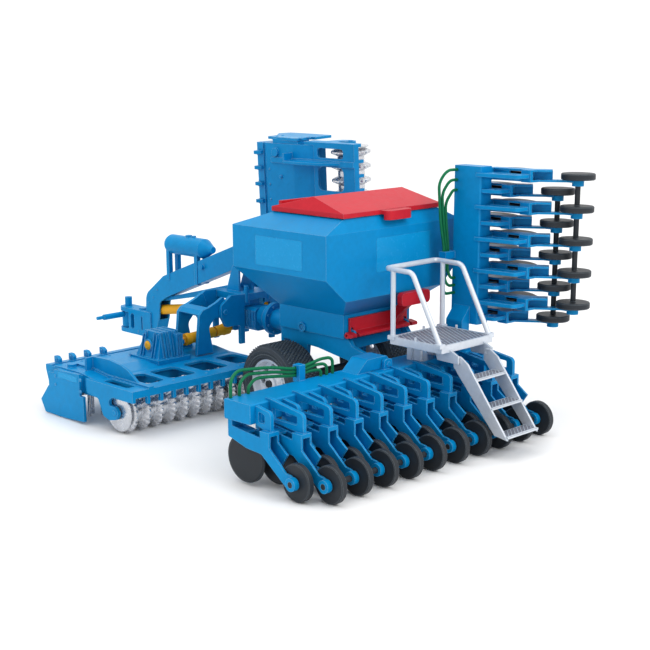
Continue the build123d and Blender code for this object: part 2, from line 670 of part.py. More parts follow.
def drawbar():
    """Gooseneck with the forked head that carries the lower link yoke."""
    head_end = KINGPIN_Y - 10
    head = plate_x([(408, HEAD_LOW), (408, HEAD_TOP), (head_end, HEAD_TOP), (head_end, HEAD_LOW)], 0,
                   2 * HEAD_HALF,
                   [3, 2, 0, 0])
    slot = plate_x([(434.5, 29), (434.5, 44), (440.0, 44), (440.0, 29)], 0, 2 * HEAD_HALF + 1, 2.5)
    slit = block((-HEAD_HALF - 1, -HEAD_HALF + 1.5), (421, 423), (30, 43))
    head = head - slot - slit
    for z0, z1 in ((HEAD_LOW, HEAD_LOW + FORK_PLATE), (HEAD_TOP - FORK_PLATE, HEAD_TOP)):
        ear = block((-HEAD_HALF, HEAD_HALF), (head_end - 1, KINGPIN_Y), (z0, z1))
        ear += rod_z(0, KINGPIN_Y, (z0, z1), HEAD_HALF)
        head += ear
    head -= rod_z(0, KINGPIN_Y, (HEAD_LOW - 1, HEAD_TOP + 1), KINGPIN_R + RUN_FIT)
    head -= rod_z(0, KINGPIN_Y, (HEAD_LOW + FORK_PLATE, HEAD_TOP - FORK_PLATE), YOKE_R + 1.4)
    cap = rod_z(0, 428, (HEAD_TOP - 1, HEAD_TOP + 1.6), 5.0)
    stub = rod_x((-DRAWBAR_HALF - 3, DRAWBAR_HALF + 3), 328.5, 101.7, 2.2)
    return drawbar_arm() + head + cap + stub


def yoke():
    """Swivelling yoke with the two lower link pins, turning on its kingpin."""
    low = HEAD_LOW + FORK_PLATE + SIDE_FIT
    high = HEAD_TOP - FORK_PLATE - SIDE_FIT
    shape = rod_z(0, KINGPIN_Y, (low, high), YOKE_R)
    shape += rod_z(0, KINGPIN_Y, (HEAD_LOW, HEAD_TOP + 9), KINGPIN_R)
    for side in (-1, 1):
        shape += rod_x((0, side * LINK_PIN_OUT), KINGPIN_Y, LINK_PIN_Z, LINK_PIN_R)
        shape += rod_x((0, side * LINK_TIP_OUT), KINGPIN_Y, LINK_PIN_Z, LINK_TIP_R)
    return shape


def tank():
    """Air tank on its posts above the drawbar."""
    half = TANK_R * 0.55
    profile = [(TANK_REAR - 12, 0), (TANK_REAR - 12, 3.0), (TANK_REAR - 9, 4.2), (TANK_REAR, TANK_R)]
    profile += [(TANK_FRONT - 4, TANK_R), (TANK_FRONT - 1.2, TANK_R - 1.4), (TANK_FRONT, TANK_R - 4.5)]
    profile += [(TANK_FRONT, 0)]
    shape = spun_y(profile, 0, TANK_Z)
    for y, radius in ((356.0, 3.0), (348.5, 2.0)):
        shape += rod_z(0, y, (TANK_Z + TANK_R - 2, TANK_Z + TANK_R + 1.4), radius)
    for y in (379.5, 338.5):
        for x in (-half, half):
            shape += block((x - 2.1, x + 2.1), (y - 2.1, y + 2.1), (84.0, TANK_Z - 5))
    return shape - drawbar_arm()


def blower():
    """Air housing: neck from the hopper's box through its flange to the gearbox."""
    rear = BOX_FRONT + 4.3
    flange = GEARBOX_REAR - 16.5
    profile = [(rear, 0), (rear, NECK_R), (flange, NECK_R), (flange, FLANGE_R), (flange + 4.5, FLANGE_R)]
    profile += [(flange + 4.5, NECK_R - 0.8), (flange + 9, NECK_R - 0.8), (flange + 10, NECK_R + 0.6)]
    profile += [(GEARBOX_REAR, NECK_R + 0.6), (GEARBOX_REAR, 0)]
    return spun_y(profile, 0, DRIVE_Z)


def middle_gearbox():
    """Ribbed transfer gearbox under the carrier, with a forked output on each side."""
    half = GEARBOX_HALF
    case = block((-half, half), (GEARBOX_REAR, GEARBOX_FRONT), (GEARBOX_LOW, GEARBOX_TOP))
    case = chamfer(case.edges().filter_by(Axis.Y), 3.0)
    pitch = (GEARBOX_FRONT - GEARBOX_REAR - 3) / GEARBOX_RIBS
    for index in range(GEARBOX_RIBS):
        y = GEARBOX_REAR + 1.5 + pitch * index
        case += block((-half - 1.2, half + 1.2), (y, y + 1.6), (GEARBOX_LOW + 2.5, GEARBOX_TOP - 2.5))
    case += block((-6, 6), (CARRIER_REAR + 4, CARRIER_REAR + 22), (GEARBOX_TOP - 1, CARRIER_TOP - 6))
    for side in (-1, 1):
        case += shaft_fork(side, SHAFT_IN[0], SHAFT_IN[1], half)
    case += rod_y(0, (GEARBOX_FRONT - 1, CARRIER_FRONT + 1), DRIVE_Z + 0.5, INPUT_R)
    return case


def shaft_fork(side, x, z, root_x):
    """Two ears and a pin along Y for a universal joint, on the side that faces out."""
    ears = None
    for dy in (-1, 1):
        mid = SHAFT_Y + dy * 3.3
        near = side * root_x
        far = side * x
        ear = block((near, far), (mid - 0.8, mid + 0.8), (z - 2.4, z + 2.4))
        ear += rod_y(far, (mid - 0.8, mid + 0.8), z, 2.4)
        ears = ear if ears is None else ears + ear
    return ears + rod_y(side * x, (SHAFT_Y - 4, SHAFT_Y + 4), z, 1.0)


def input_shaft():
    """Guarded shaft from the gearbox into the drawbar's leg."""
    start = Vector(0, CARRIER_FRONT + 2.0, DRIVE_Z + 0.9)
    end = Vector(0, 410.0, 50.3)
    line = end - start
    place = Plane(origin=start, z_dir=line)
    length = line.length
    face = make_face(Polyline((0, 0, 0), (BELL_R, 0, 0), (BELL_R, 0, 9), (INPUT_R, 0, 11),
                              (INPUT_R, 0, length - 8),
                              (2.6, 0, length - 8), (2.6, 0, length), (0, 0, length), close=True))
    return place * revolve(face, Axis.Z)


def tyre():
    """Right-hand tyre; its inner bead sits on the rim."""
    inner = TYRE_IN
    outer = TYRE_IN + TYRE_W
    profile = [(inner + 3, RIM_R), (inner + 0.8, RIM_R + 4), (inner, TYRE_R - 5), (inner + 2.6, TYRE_R - 1.0)]
    profile += [(inner + 6, TYRE_R), (outer - 6, TYRE_R), (outer - 2.6, TYRE_R - 1.0), (outer, TYRE_R - 5)]
    profile += [(outer - 0.8, RIM_R + 4), (outer - 3, RIM_R)]
    return spun_x(profile, AXLE_Y, TYRE_R)


def rim():
    """Right-hand rim: band, spoked disc and hub."""
    inner = TYRE_IN + 3
    outer = TYRE_IN + TYRE_W - 3
    wall = 1.8
    disc_x = outer - 7
    profile = [(inner, RIM_R), (outer, RIM_R), (outer, RIM_R - wall), (disc_x + 1.5, RIM_R - wall - 1.5)]
    profile += [(disc_x + 1.5, HUB_R + 3), (disc_x + 4, HUB_R), (disc_x + 4, 0), (inner, 0), (inner, HUB_R)]
    profile += [(disc_x - 1.5, HUB_R), (disc_x - 1.5, RIM_R - wall), (inner, RIM_R - wall)]
    shape = spun_x(profile, AXLE_Y, TYRE_R)
    hole_ring = (HUB_R + RIM_R - wall + 1.5) / 2
    for index in range(8):
        turn = radians(45 * index)
        y = AXLE_Y + hole_ring * cos(turn)
        z = TYRE_R + hole_ring * sin(turn)
        shape -= rod_x((inner - 1, outer + 1), y, z, 2.6)
    return shape - rod_x((0, outer + 5), AXLE_Y, TYRE_R, AXLE_R + RUN_FIT)


# Harrow wings, modelled as the right-hand one unfolded

def harrow_frame():
    """Trough, hinge arms and roller frame of one wing."""
    top = TROUGH_TOP
    section = [(TROUGH_REAR, TROUGH_LOW), (TROUGH_REAR, COVER_TOP - 1.5), (TROUGH_REAR + 6, COVER_TOP),
               (283.0, top)]
    section += [(TROUGH_FRONT - 13, top), (TROUGH_FRONT - 13, top - 1.4), (TROUGH_FRONT - 9.5, top - 1.4)]
    section += [(TROUGH_FRONT - 9.5, top), (TROUGH_FRONT, top - 1), (TROUGH_FRONT, top - 5),
                (TROUGH_FRONT - 4, TROUGH_LOW)]
    middle = (TROUGH_IN + TROUGH_OUT) / 2
    trough = plate_x(section, middle, TROUGH_OUT - TROUGH_IN)
    for y in (CARRIER_REAR + CHEEK_T + SIDE_FIT + WING_ARM_T / 2,
              CARRIER_FRONT - CHEEK_T - SIDE_FIT - WING_ARM_T / 2):
        trough += wing_arm(y)
    cover = [(52.0, 79.0), (58.2, 77.3), (61.6, 73.6), (60.4, 72.3), (57.2, 75.6), (51.6, 77.2)]
    front = CARRIER_FRONT - CHEEK_T - SIDE_FIT - WING_ARM_T / 2
    rear = CARRIER_REAR + CHEEK_T + SIDE_FIT + WING_ARM_T / 2
    trough += plate_y(cover, (front + rear) / 2, front - rear)
    return trough + roller_frame()


def wing_arm(y):
    """Curved arm from the hinge to the trough."""
    x, z = HARROW_HINGE_X, HARROW_HINGE_Z
    outline = [(x - 5, z - 4), (x - 5, z + 4.5), (x - 1.3, z + 13), (x + 6.2, z + 8.9), (52.5, 78.8),
               (58.5, 77.2)]
    outline += [(62.3, 73.5), (63.0, 66.0), (66.0, TROUGH_TOP - 1), (48.0, TROUGH_TOP - 1), (52.5, 62.0)]
    outline += [(46.0, 69.0), (x + 1.5, z - 5)]
    arm = plate_y(outline, y, WING_ARM_T, [3, 4, 2, 5, 4, 2.5, 2.5, 3, 0, 0, 6, 4, 2])
    return arm - rod_y(x, (y - 3, y + 3), z, HARROW_PIN_R + RUN_FIT)


def roller_frame():
    """Cover plate with windows, rear beam, scrapers and the two roller arms."""
    low = COVER_TOP - COVER_T
    cover = block((TROUGH_IN, TROUGH_OUT + ROLLER_ARM_T), (BEAM_REAR, TROUGH_REAR + 1), (low, COVER_TOP))
    for inner, outer in WINDOWS:
        hole = [(inner, BEAM_REAR + 13.5), (inner, TROUGH_REAR - 4), (outer, TROUGH_REAR - 4),
                (outer, BEAM_REAR + 13.5)]
        cover -= plate_z(hole, low - 1, COVER_TOP + 1, min(5.0, (outer - inner) / 3))
    cover += block((TROUGH_IN, TROUGH_OUT + ROLLER_ARM_T), (BEAM_REAR, BEAM_REAR + BEAM_T),
                   (BEAM_LOW, COVER_TOP))
    for x in (TROUGH_IN + ROLLER_ARM_T / 2, TROUGH_OUT + ROLLER_ARM_T / 2):
        arm = [(BEAM_REAR, 29.2), (BEAM_REAR, COVER_TOP), (TROUGH_REAR + 13, COVER_TOP),
               (TROUGH_REAR + 12, 27.1)]
        arm += [(254.6, 25.2), (252.1, 20.0), (248.3, 12.1), (ROLLER_Y + 7.6, RING_R - 7.5)]
        arm += [(ROLLER_Y - 2, RING_R - 5.5), (ROLLER_Y - 5, RING_R), (ROLLER_Y - 1, RING_R + 4.5)]
        arm += [(ROLLER_Y + 7.2, RING_R + 4.5), (ROLLER_Y + 7.2, 25.7), (ROLLER_Y + 2.8, 29.1)]
        plate = plate_x(arm, x, ROLLER_ARM_T, [0, 0, 0, 0, 3, 2, 2, 2, 3, 3, 3, 1.5, 2, 2])
        cover += plate - rod_x((x - 3, x + 3), ROLLER_Y, RING_R, ROLLER_AXLE_R + RUN_FIT)
    rib = [(BEAM_REAR, low), (BEAM_REAR, COVER_TOP + 1.6), (TROUGH_REAR + 6, COVER_TOP + 1.6)]
    rib += [(283.0, TROUGH_TOP + 1.6), (312.0, TROUGH_TOP + 1.6), (312.0, TROUGH_TOP - 1),
            (283.0, TROUGH_TOP - 1)]
    rib += [(TROUGH_REAR + 6, low)]
    cover += plate_x(rib, GUSSET_X, 5.0)
    gusset = [(225.0, low), (225.0, 40.0), (237.7, 47.7), (247.0, 50.5), (262.4, 52.2), (285.5, 51.2)]
    gusset += [(285.5, TROUGH_TOP - 1), (283.0, TROUGH_TOP - 1), (TROUGH_REAR + 6, low)]
    cover += plate_x(gusset, GUSSET_X, 2.4, [0, 0, 8, 8, 8, 0, 0, 0, 0])
    cover += block((GUSSET_X, GUSSET_X + 7.7), (284.5, 286.5), (TROUGH_TOP - 1, 51.0))
    cover += rod_z(GUSSET_X + 7, 306.0, (TROUGH_TOP - 1, TROUGH_TOP + 2.4), 4.0)
    cover += rod_z(GUSSET_X - 15, 300.0, (TROUGH_TOP - 1, TROUGH_TOP + 1.6), 1.6)
    first = ring_places()[0]
    for index in range(RING_COUNT - 1):
        x = first + ROW_PITCH * (index + 0.5)
        cover += block((x - 1.4, x + 1.4), (BEAM_REAR, BEAM_REAR + BEAM_T),
                       (DRUM_R + RING_R - 3, BEAM_LOW + 1))
    return cover


def ring_places():
    middle = (TROUGH_IN + ROLLER_ARM_T + TROUGH_OUT) / 2
    first = middle - ROW_PITCH * (RING_COUNT - 1) / 2
    return [first + ROW_PITCH * index for index in range(RING_COUNT)]


def roller():
    """Packer roller: drum with wedge rings and a stub axle at each end."""
    inner = TROUGH_IN + ROLLER_ARM_T + SIDE_FIT + 0.4
    outer = TROUGH_OUT - SIDE_FIT - 0.4
    rings = []
    for x in ring_places():
        rings += [(x - RING_BASE / 2, DRUM_R), (x - RING_TIP / 2, RING_R)]
        rings += [(x + RING_TIP / 2, RING_R), (x + RING_BASE / 2, DRUM_R)]
    profile = [(inner, 0), (inner, RING_R - 2), (inner + 1, RING_R - 1.4)] + rings[1:-1]
    profile += [(outer - 1, RING_R - 1.4), (outer, RING_R - 2), (outer, 0)]
    shape = spun_x(profile, ROLLER_Y, RING_R)
    return shape + rod_x((TROUGH_IN, TROUGH_OUT + ROLLER_ARM_T), ROLLER_Y, RING_R, ROLLER_AXLE_R)


def end_plate():
    """Side plate at the wing's outer end, with the small tab ahead of it."""
    x = TROUGH_OUT + ROLLER_ARM_T + END_PLATE_T / 2
    low = [(272, 2.5), (272, 23), (322, 24), (334, 10.5), (328, 0.8), (300, 0.8)]
    plate = plate_x(low, x, END_PLATE_T)
    plate += plate_x([(277, 22), (277, 41), (313, 39), (313, 22)], x, END_PLATE_T)
    plate += plate_x([(312, 26), (312, 36), (321, 36), (321, 24), (312, 23)], x, END_PLATE_T)
    plate += block((TROUGH_OUT, x), (278, 311), (TROUGH_LOW + 1, TROUGH_TOP - 1))
    return plate


def tines():
    """Tine rotors under the trough, two straight tines each."""
    rotors = []
    for index in range(TINE_ROTORS):
        x = TROUGH_IN + 8 + ROW_PITCH * index
        rotor = rod_z(x, TINE_Y, (TROUGH_LOW - 3.5, TROUGH_LOW), 5.2)
        turn = radians(35 * (index % 2) + 20)
        for side in (-1, 1):
            tx = x + side * TINE_SPREAD * cos(turn)
            ty = TINE_Y + side * TINE_SPREAD * sin(turn)
            rotor += rod((tx, ty, TROUGH_LOW - 3), (tx, ty, 1.2), TINE_R)
        rotors.append(rotor)
    return together(rotors)


def wing_gearbox():
    """Ribbed gearbox on the trough, with the forked input that faces the middle."""
    x0 = WING_BOX_X
    low = TROUGH_TOP
    base = rectangle_at(WING_BOX_BASE, 268.0, 300.0, low)
    top = rectangle_at(WING_BOX_TOP, 272.0, 291.0, WING_BOX_Z)
    case = Pos(x0, 0, 0) * loft([base, top])
    for dx in (-6, 0, 6):
        rib = [(266.5, low), (271.2, WING_BOX_Z + 0.8), (292.0, WING_BOX_Z + 0.8), (301.5, low)]
        case += plate_x(rib, x0 + dx, 1.6)
    inner = SHAFT_OUT[0] + 4
    case += block((inner, x0 - 4), (267, 286), (low, 60.0))
    for x in (inner + 0.5, inner + 3.1, inner + 5.7):
        case += block((x, x + 1.2), (265.8, 287.2), (low + 1, 61.2))
    pad = [(TROUGH_REAR + 6, COVER_TOP), (283.0, low), (303.0, low), (303.0, low + 1.6),
           (TROUGH_REAR + 6, low + 1.6)]
    case += plate_x(pad, x0, 2 * WING_BOX_BASE + 6)
    case += rod_x((x0, x0 + WING_BOX_BASE - 1.2), 283.0, SHAFT_OUT[1], 2.6)
    return case + shaft_fork(1, SHAFT_OUT[0], SHAFT_OUT[1], inner)


def shaft_line():
    """Length and slope of a wing's drive shaft with the wing down."""
    dx = SHAFT_OUT[0] - SHAFT_IN[0]
    dz = SHAFT_OUT[1] - SHAFT_IN[1]
    return hypot(dx, dz), degrees(atan2(dz, dx))


def shaft_outer_end():
    """Place of the outer universal joint when the wing is up, as x and z."""
    dx = SHAFT_OUT[0] - HARROW_HINGE_X
    dz = SHAFT_OUT[1] - HARROW_HINGE_Z
    turn = radians(HARROW_FOLD)
    return (HARROW_HINGE_X + dx * cos(turn) - dz * sin(turn),
            HARROW_HINGE_Z + dx * sin(turn) + dz * cos(turn))


def shaft_eye():
    """Tongue of a universal joint at the origin, its shaft running to +X."""
    tongue = block((0, 6.5), (-2.1, 2.1), (-2.0, 2.0)) + rod_y(0, (-2.1, 2.1), 0, 2.0)
    return tongue - rod_y(0, (-3, 3), 0, 1.0 + RUN_FIT)


def inner_shaft():
    """Inner half of a wing's drive shaft, its joint at the origin, running to +X."""
    length = shaft_line()[0]
    profile = [(5.5, 0), (5.5, BELL_R), (11, BELL_R), (13, GUARD_R), (20, GUARD_R), (20, INNER_GUARD_R)]
    profile += [(length - 12, INNER_GUARD_R), (length - 12, 0)]
    return shaft_eye() + spun_x(profile, 0, 0)


def outer_shaft():
    """Outer half, its joint at the origin, running to +X over the inner one."""
    length = shaft_line()[0]
    tube_end = length - 22
    profile = [(5.5, 0), (5.5, BELL_R), (10, BELL_R), (11, GUARD_R), (tube_end, GUARD_R),
               (tube_end, GUARD_BORE)]
    profile += [(9, GUARD_BORE), (9, 0)]
    return shaft_eye() + spun_x(profile, 0, 0)


def drive_shafts():
    """Both halves of the left (down) and right (up) shafts at rest."""
    length, slope = shaft_line()
    up_x, up_z = shaft_outer_end()
    up_slope = degrees(atan2(up_z - SHAFT_IN[1], up_x - SHAFT_IN[0]))
    parts = {}
    for side, end, angle in (("left", SHAFT_OUT, slope), ("right", (up_x, up_z), up_slope)):
        near = Pos(SHAFT_IN[0], SHAFT_Y, SHAFT_IN[1]) * Rot(0, -angle, 0) * inner_shaft()
        far = Pos(end[0], SHAFT_Y, end[1]) * Rot(0, 180 - angle, 0) * outer_shaft()
        if side == "left":
            near = mirrored(near)
            far = mirrored(far)
        parts["shaft_inner_" + side] = near
        parts["shaft_outer_" + side] = far
    return parts


# Platform, railing and ladder

def deck():
    """Grated platform with its apron, legs and the ladder's hinge lugs."""
    low = DECK_Z - DECK_T
    plate = block((-DECK_HALF, DECK_HALF), (DECK_REAR, DECK_FRONT), (low, DECK_Z - 0.6))
    rim = block((-DECK_HALF, DECK_HALF), (DECK_REAR, DECK_FRONT), (DECK_Z - APRON, DECK_Z))
    rim -= block((-DECK_HALF + 1.6, DECK_HALF - 1.6), (DECK_REAR + 1.6, DECK_FRONT - 1.6), (0, DECK_Z + 1))
    shape = plate + rim
    foot_front = BAR_FRONT - 12
    for x in (-12, 12):
        shape += block((x - 2.5, x + 2.5), (foot_front - 5, foot_front), (BAR_TOP, low + 0.5))
        shape += block((x - 1.2, x + 1.2), (BAR_REAR + 2, foot_front), (BAR_TOP, low + 0.5))
    for side in (-1, 1):
        x = side * (LADDER_HALF + LADDER_T / 2 + SIDE_FIT)
        lug = plate_x([(DECK_REAR + 1, DECK_Z - APRON), (DECK_REAR + 14, DECK_Z - APRON),
                       (DECK_REAR + 12, 66),
                       (LADDER_HINGE_Y - 3, 65.5), (LADDER_HINGE_Y - 3, 71.5),
                       (DECK_REAR, DECK_Z - APRON + 2)],
                      x, LADDER_T)
        shape += lug
        shape += block((x - 0.9, x + 0.9), (DECK_REAR, DECK_REAR + 12), (DECK_Z - APRON - 1, low + 0.5))
        shape += rod_x((x, x - side * (LADDER_T + SIDE_FIT + 0.4)), LADDER_HINGE_Y, LADDER_HINGE_Z, 1.2)
    return shape


def railing():
    """Bent rail loop with its two posts."""
    half = DECK_HALF - RAIL_INSET
    corner = DECK_FRONT + 5.3
    side = [(DECK_REAR + 30.3, RAIL_TOP - 0.5), (DECK_REAR + 2.8, DECK_Z)]
    loop = [(-half, side[1][0], side[1][1]), (-half, side[0][0], side[0][1]), (-half, corner, RAIL_TOP)]
    loop += [(-x, y, z) for x, y, z in reversed(loop)]
    path = FilletPolyline(*loop, radius=[7, 4, 4, 7])
    start = Plane(origin=loop[0], z_dir=Vector(*loop[1]) - Vector(*loop[0]))
    rail = sweep(start * Circle(RAIL_R), path=path)
    for x in (-half, half):
        rail += rod_z(x, DECK_FRONT - 2, (DECK_Z, RAIL_TOP - 0.3), RAIL_R)
    return rail - block((-2 * half, 2 * half), (0, DECK_FRONT + 20), (DECK_Z - 10, DECK_Z))


def ladder():
    """Two stringers and three treads, hinged under the platform's rear edge."""
    outline = [(LADDER_HINGE_Y - 3, LADDER_HINGE_Z + 2.5), (LADDER_HINGE_Y + 3, LADDER_HINGE_Z + 2.5)]
    outline += [(LADDER_HINGE_Y + 3, LADDER_HINGE_Z - 6), (LADDER_FOOT_Y + LADDER_W, LADDER_FOOT_Z + 1)]
    outline += [(LADDER_FOOT_Y, LADDER_FOOT_Z - 1), (LADDER_HINGE_Y - 10, LADDER_HINGE_Z - 2)]
    shape = None
    for side in (-1, 1):
        plate = plate_x(outline, side * (LADDER_HALF - LADDER_T / 2), LADDER_T, [2, 2, 0, 0, 0, 3])
        plate -= rod_x((side * (LADDER_HALF + 1), side * (LADDER_HALF - LADDER_T - 1)), LADDER_HINGE_Y,
                       LADDER_HINGE_Z, 1.2 + RUN_FIT)
        shape = plate if shape is None else shape + plate
    for z, y in ((56.0, 3.0), (37.5, -12.5), (19.0, -27.5)):
        shape += block((-LADDER_HALF + 0.5, LADDER_HALF - 0.5), (y - 1, y + 11.5), (z - 1.6, z))
    return shape


def build_nodes():
    nodes = {}
    left = coulter_rows(-WORKING_HALF + ROW_PITCH / 2, COULTERS_PER_SECTION)
    middle = coulter_rows(-SECTION_HALF + ROW_PITCH / 2, COULTERS_PER_SECTION)
    right = coulter_rows(SECTION_HALF + ROW_PITCH / 2, COULTERS_PER_SECTION)

    def up(shape):
        return folded(shape, WING_HINGE_X, WING_HINGE_Z, WING_FOLD)

    def same(shape):
        return shape

    nodes["coulter_bar_middle"] = middle_bar()
    nodes["coulter_bar_left"] = mirrored(wing_bar())
    nodes["coulter_bar_right"] = up(wing_bar())
    for name, places, place in (("left", left, same), ("middle", middle, same), ("right", right, up)):
        nodes["coulter_arms_" + name] = place(coulter_arms(places))
        nodes["disc_openers_" + name] = place(disc_set(places))
        nodes["press_wheels_rear_" + name] = place(press_gang(places, 0.0))
        nodes["press_wheels_front_" + name] = place(press_gang(places, ROW_STEP))
    nodes["hoses_left"] = mirrored(hoses())
    nodes["hoses_right"] = up(hoses())
    nodes["hopper"] = hopper()
    nodes["hopper_lid"] = lid()
    nodes["outlet_flap"] = flap()
    nodes["main_frame"] = main_frame()
    nodes["harrow_carrier"] = harrow_carrier()
    nodes["axle"] = axle()
    nodes["drawbar"] = drawbar()
    nodes["link_yoke"] = yoke()
    nodes["air_tank"] = tank()
    nodes["blower"] = blower()
    nodes["gearbox_middle"] = middle_gearbox()
    nodes["input_shaft"] = input_shaft()
    nodes["tyre_left"] = mirrored(tyre())
    nodes["tyre_right"] = tyre()
    nodes["rim_left"] = mirrored(rim())
    nodes["rim_right"] = rim()

    def harrow_up(shape):
        return folded(shape, HARROW_HINGE_X, HARROW_HINGE_Z, HARROW_FOLD)

    for name, place in (("left", mirrored), ("right", harrow_up)):
        nodes["harrow_frame_" + name] = place(harrow_frame())
        nodes["harrow_end_plate_" + name] = place(end_plate())
        nodes["harrow_tines_" + name] = place(tines())
        nodes["harrow_gearbox_" + name] = place(wing_gearbox())
        nodes["packer_roller_" + name] = place(roller())
    nodes.update(drive_shafts())
    nodes["platform"] = deck()
    nodes["railing"] = railing()
    nodes["ladder"] = ladder()
    return nodes


def main():
    nodes = build_nodes()
    box = Compound(children=[piece.moved(Location((0, 0, 0))) for piece in nodes.values()]).bounding_box()
    shift = Pos(-(box.min.X + box.max.X) / 2, -(box.min.Y + box.max.Y) / 2, 0)
    os.makedirs("parts", exist_ok=True)
    for name, piece in nodes.items():
        export_step(shift * piece, "parts/" + name + ".step")


main()
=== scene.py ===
"""Seed drill toy: finish, small pieces, floor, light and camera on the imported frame."""
import math

import bmesh
import bpy
from mathutils import Matrix, Vector


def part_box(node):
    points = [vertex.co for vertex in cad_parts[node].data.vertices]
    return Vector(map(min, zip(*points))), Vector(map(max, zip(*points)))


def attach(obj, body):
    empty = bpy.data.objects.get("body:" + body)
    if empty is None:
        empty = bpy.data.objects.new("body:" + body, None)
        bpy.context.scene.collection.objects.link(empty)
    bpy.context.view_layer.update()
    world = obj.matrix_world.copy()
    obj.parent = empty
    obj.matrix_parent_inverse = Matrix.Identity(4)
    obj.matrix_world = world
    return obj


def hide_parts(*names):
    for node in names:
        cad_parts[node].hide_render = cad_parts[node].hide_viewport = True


bl_info = {
    "name": "Seed drill toy",
    "version": (1, 0, 0),
    "blender": (4, 5, 0),
    "location": "View3D > Sidebar > Seed drill",
    "description": "Tyre tread, toothed packer rings, grating, small fittings and moulded plastic finish",
    "category": "Object",
}

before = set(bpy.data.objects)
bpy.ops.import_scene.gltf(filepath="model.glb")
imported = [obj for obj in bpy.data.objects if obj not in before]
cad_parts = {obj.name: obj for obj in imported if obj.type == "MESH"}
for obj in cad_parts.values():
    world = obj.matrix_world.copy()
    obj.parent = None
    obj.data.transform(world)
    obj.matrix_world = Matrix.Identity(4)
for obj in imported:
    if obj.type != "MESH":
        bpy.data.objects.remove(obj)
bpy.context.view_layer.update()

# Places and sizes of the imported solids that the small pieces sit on, in the source's millimetres

MM = 0.001
HOPPER_REAR = 98.3
HOPPER_SIDE = 76.0
HARROW_HINGE = (36.8, 73.5)
HARROW_FOLD = 92.5
COULTER_HINGE = (47.1, 63.1)
COULTER_FOLD = 89.0
WHEEL_AXIS = (172.0, 32.0)
TYRE_RADIUS = 32.0
TYRE_BEAD = 20.0
TYRE_INNER, TYRE_OUTER = 39.5, 71.5
ROLLER_AXIS = (233.0, 17.5)
ROLLER_INNER, ROLLER_OUTER = 35.3, 171.2
ROLLER_MIDDLE = 103.25
DRUM_RADIUS, RING_RADIUS = 12.0, 17.5
RING_COUNT, RING_PITCH = 11, 12.5
GEARBOX_AXIS = (283.0, 52.0)
GEARBOX_MIDDLE = 91.0
DECK_HALF, DECK_REAR, DECK_FRONT, DECK_TOP = 27.6, 27.1, 74.8, 79.4
TREAD_HALF, TREAD_DEPTH = 16.0, 10.6
TREADS = ((56.0, 3.0), (37.5, -12.5), (19.0, -27.5))
ALONG_X, ALONG_Z, REARWARD = (1, 0, 0), (0, 0, 1), (0, -1, 0)

# The source's millimetres are put into the shared frame from the hopper's place
HOPPER_LOW, HOPPER_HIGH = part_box("hopper")
SHIFT = Matrix.Translation(((HOPPER_LOW.x + HOPPER_HIGH.x) / 2,
                            HOPPER_LOW.y - HOPPER_REAR * MM, 0))
MIRROR = Matrix.Scale(-1, 4, ALONG_X)


def folded(hinge, degrees):
    """Place of a right-hand wing that is swung up about its hinge."""
    x, z = hinge
    there = Matrix.Translation((x * MM, 0, z * MM))
    back = Matrix.Translation((-x * MM, 0, -z * MM))
    return SHIFT @ there @ Matrix.Rotation(-math.radians(degrees), 4, "Y") @ back


HARROW = {"left": SHIFT @ MIRROR, "right": folded(HARROW_HINGE, HARROW_FOLD)}
COULTER = {"left": SHIFT @ MIRROR, "right": folded(COULTER_HINGE, COULTER_FOLD)}
SIDES = {"left": SHIFT @ MIRROR, "right": SHIFT}

# Meshes

WELD = 0.000002
CREASE = 35.0
ROD_TIP, ROD_EDGE, ROD_EDGE_MOST = 0.82, 0.2, 0.4
WASHER, WASHER_HEIGHT, HEAD_TIP = 0.62, 0.35, 0.42
BOLT_SINK = 0.3


def placed(build, place):
    """Runs a builder on its own mesh and returns that mesh moved into place."""
    bm = bmesh.new()
    build(bm)
    bmesh.ops.transform(bm, matrix=place, verts=bm.verts)
    if place.determinant() < 0:
        bmesh.ops.reverse_faces(bm, faces=bm.faces)
    return bm


def bridge(bm, rings):
    """Faces from each ring to the next; a ring of one vertex is a tip."""
    steps = max(len(ring) for ring in rings)
    for a, b in zip(rings, rings[1:]):
        for step in range(steps):
            after = (step + 1) % steps
            if len(a) == 1:
                bm.faces.new((a[0], b[after], b[step]))
            elif len(b) == 1:
                bm.faces.new((a[step], a[after], b[0]))
            else:
                bm.faces.new((a[step], a[after], b[after], b[step]))


def ring_points(radius, steps):
    """Points of a circle as pairs; a radius of 0 gives its centre alone."""
    if radius == 0:
        return [(0.0, 0.0)]
    turns = [2 * math.pi * step / steps for step in range(steps)]
    return [(radius * math.cos(turn), radius * math.sin(turn)) for turn in turns]


def spin_faces(bm, profile, axis, steps):
    """Surface of revolution about a line along X; the profile is a list of (x, radius)."""
    bridge(bm, [[bm.verts.new((x * MM, (axis[0] + a) * MM, (axis[1] + b) * MM))
                 for a, b in ring_points(radius, steps)] for x, radius in profile])


def rod_faces(bm, start, end, radius, steps=20, tip=None):
    """Round bar between two points with a small chamfer at its far end."""
    foot = Vector(start)
    line = Vector(end) - foot
    turn = Vector(ALONG_Z).rotation_difference(line).to_matrix().to_4x4()
    tip = radius * ROD_TIP if tip is None else tip
    edge = min(radius * ROD_EDGE, line.length * ROD_EDGE_MOST)
    profile = [(0, 0), (0, radius), (line.length - edge, radius), (line.length, tip),
               (line.length, 0)]
    bridge(bm, [[bm.verts.new((turn @ Vector((a, b, z)) + foot) * MM)
                 for a, b in ring_points(r, steps)] for z, r in profile])


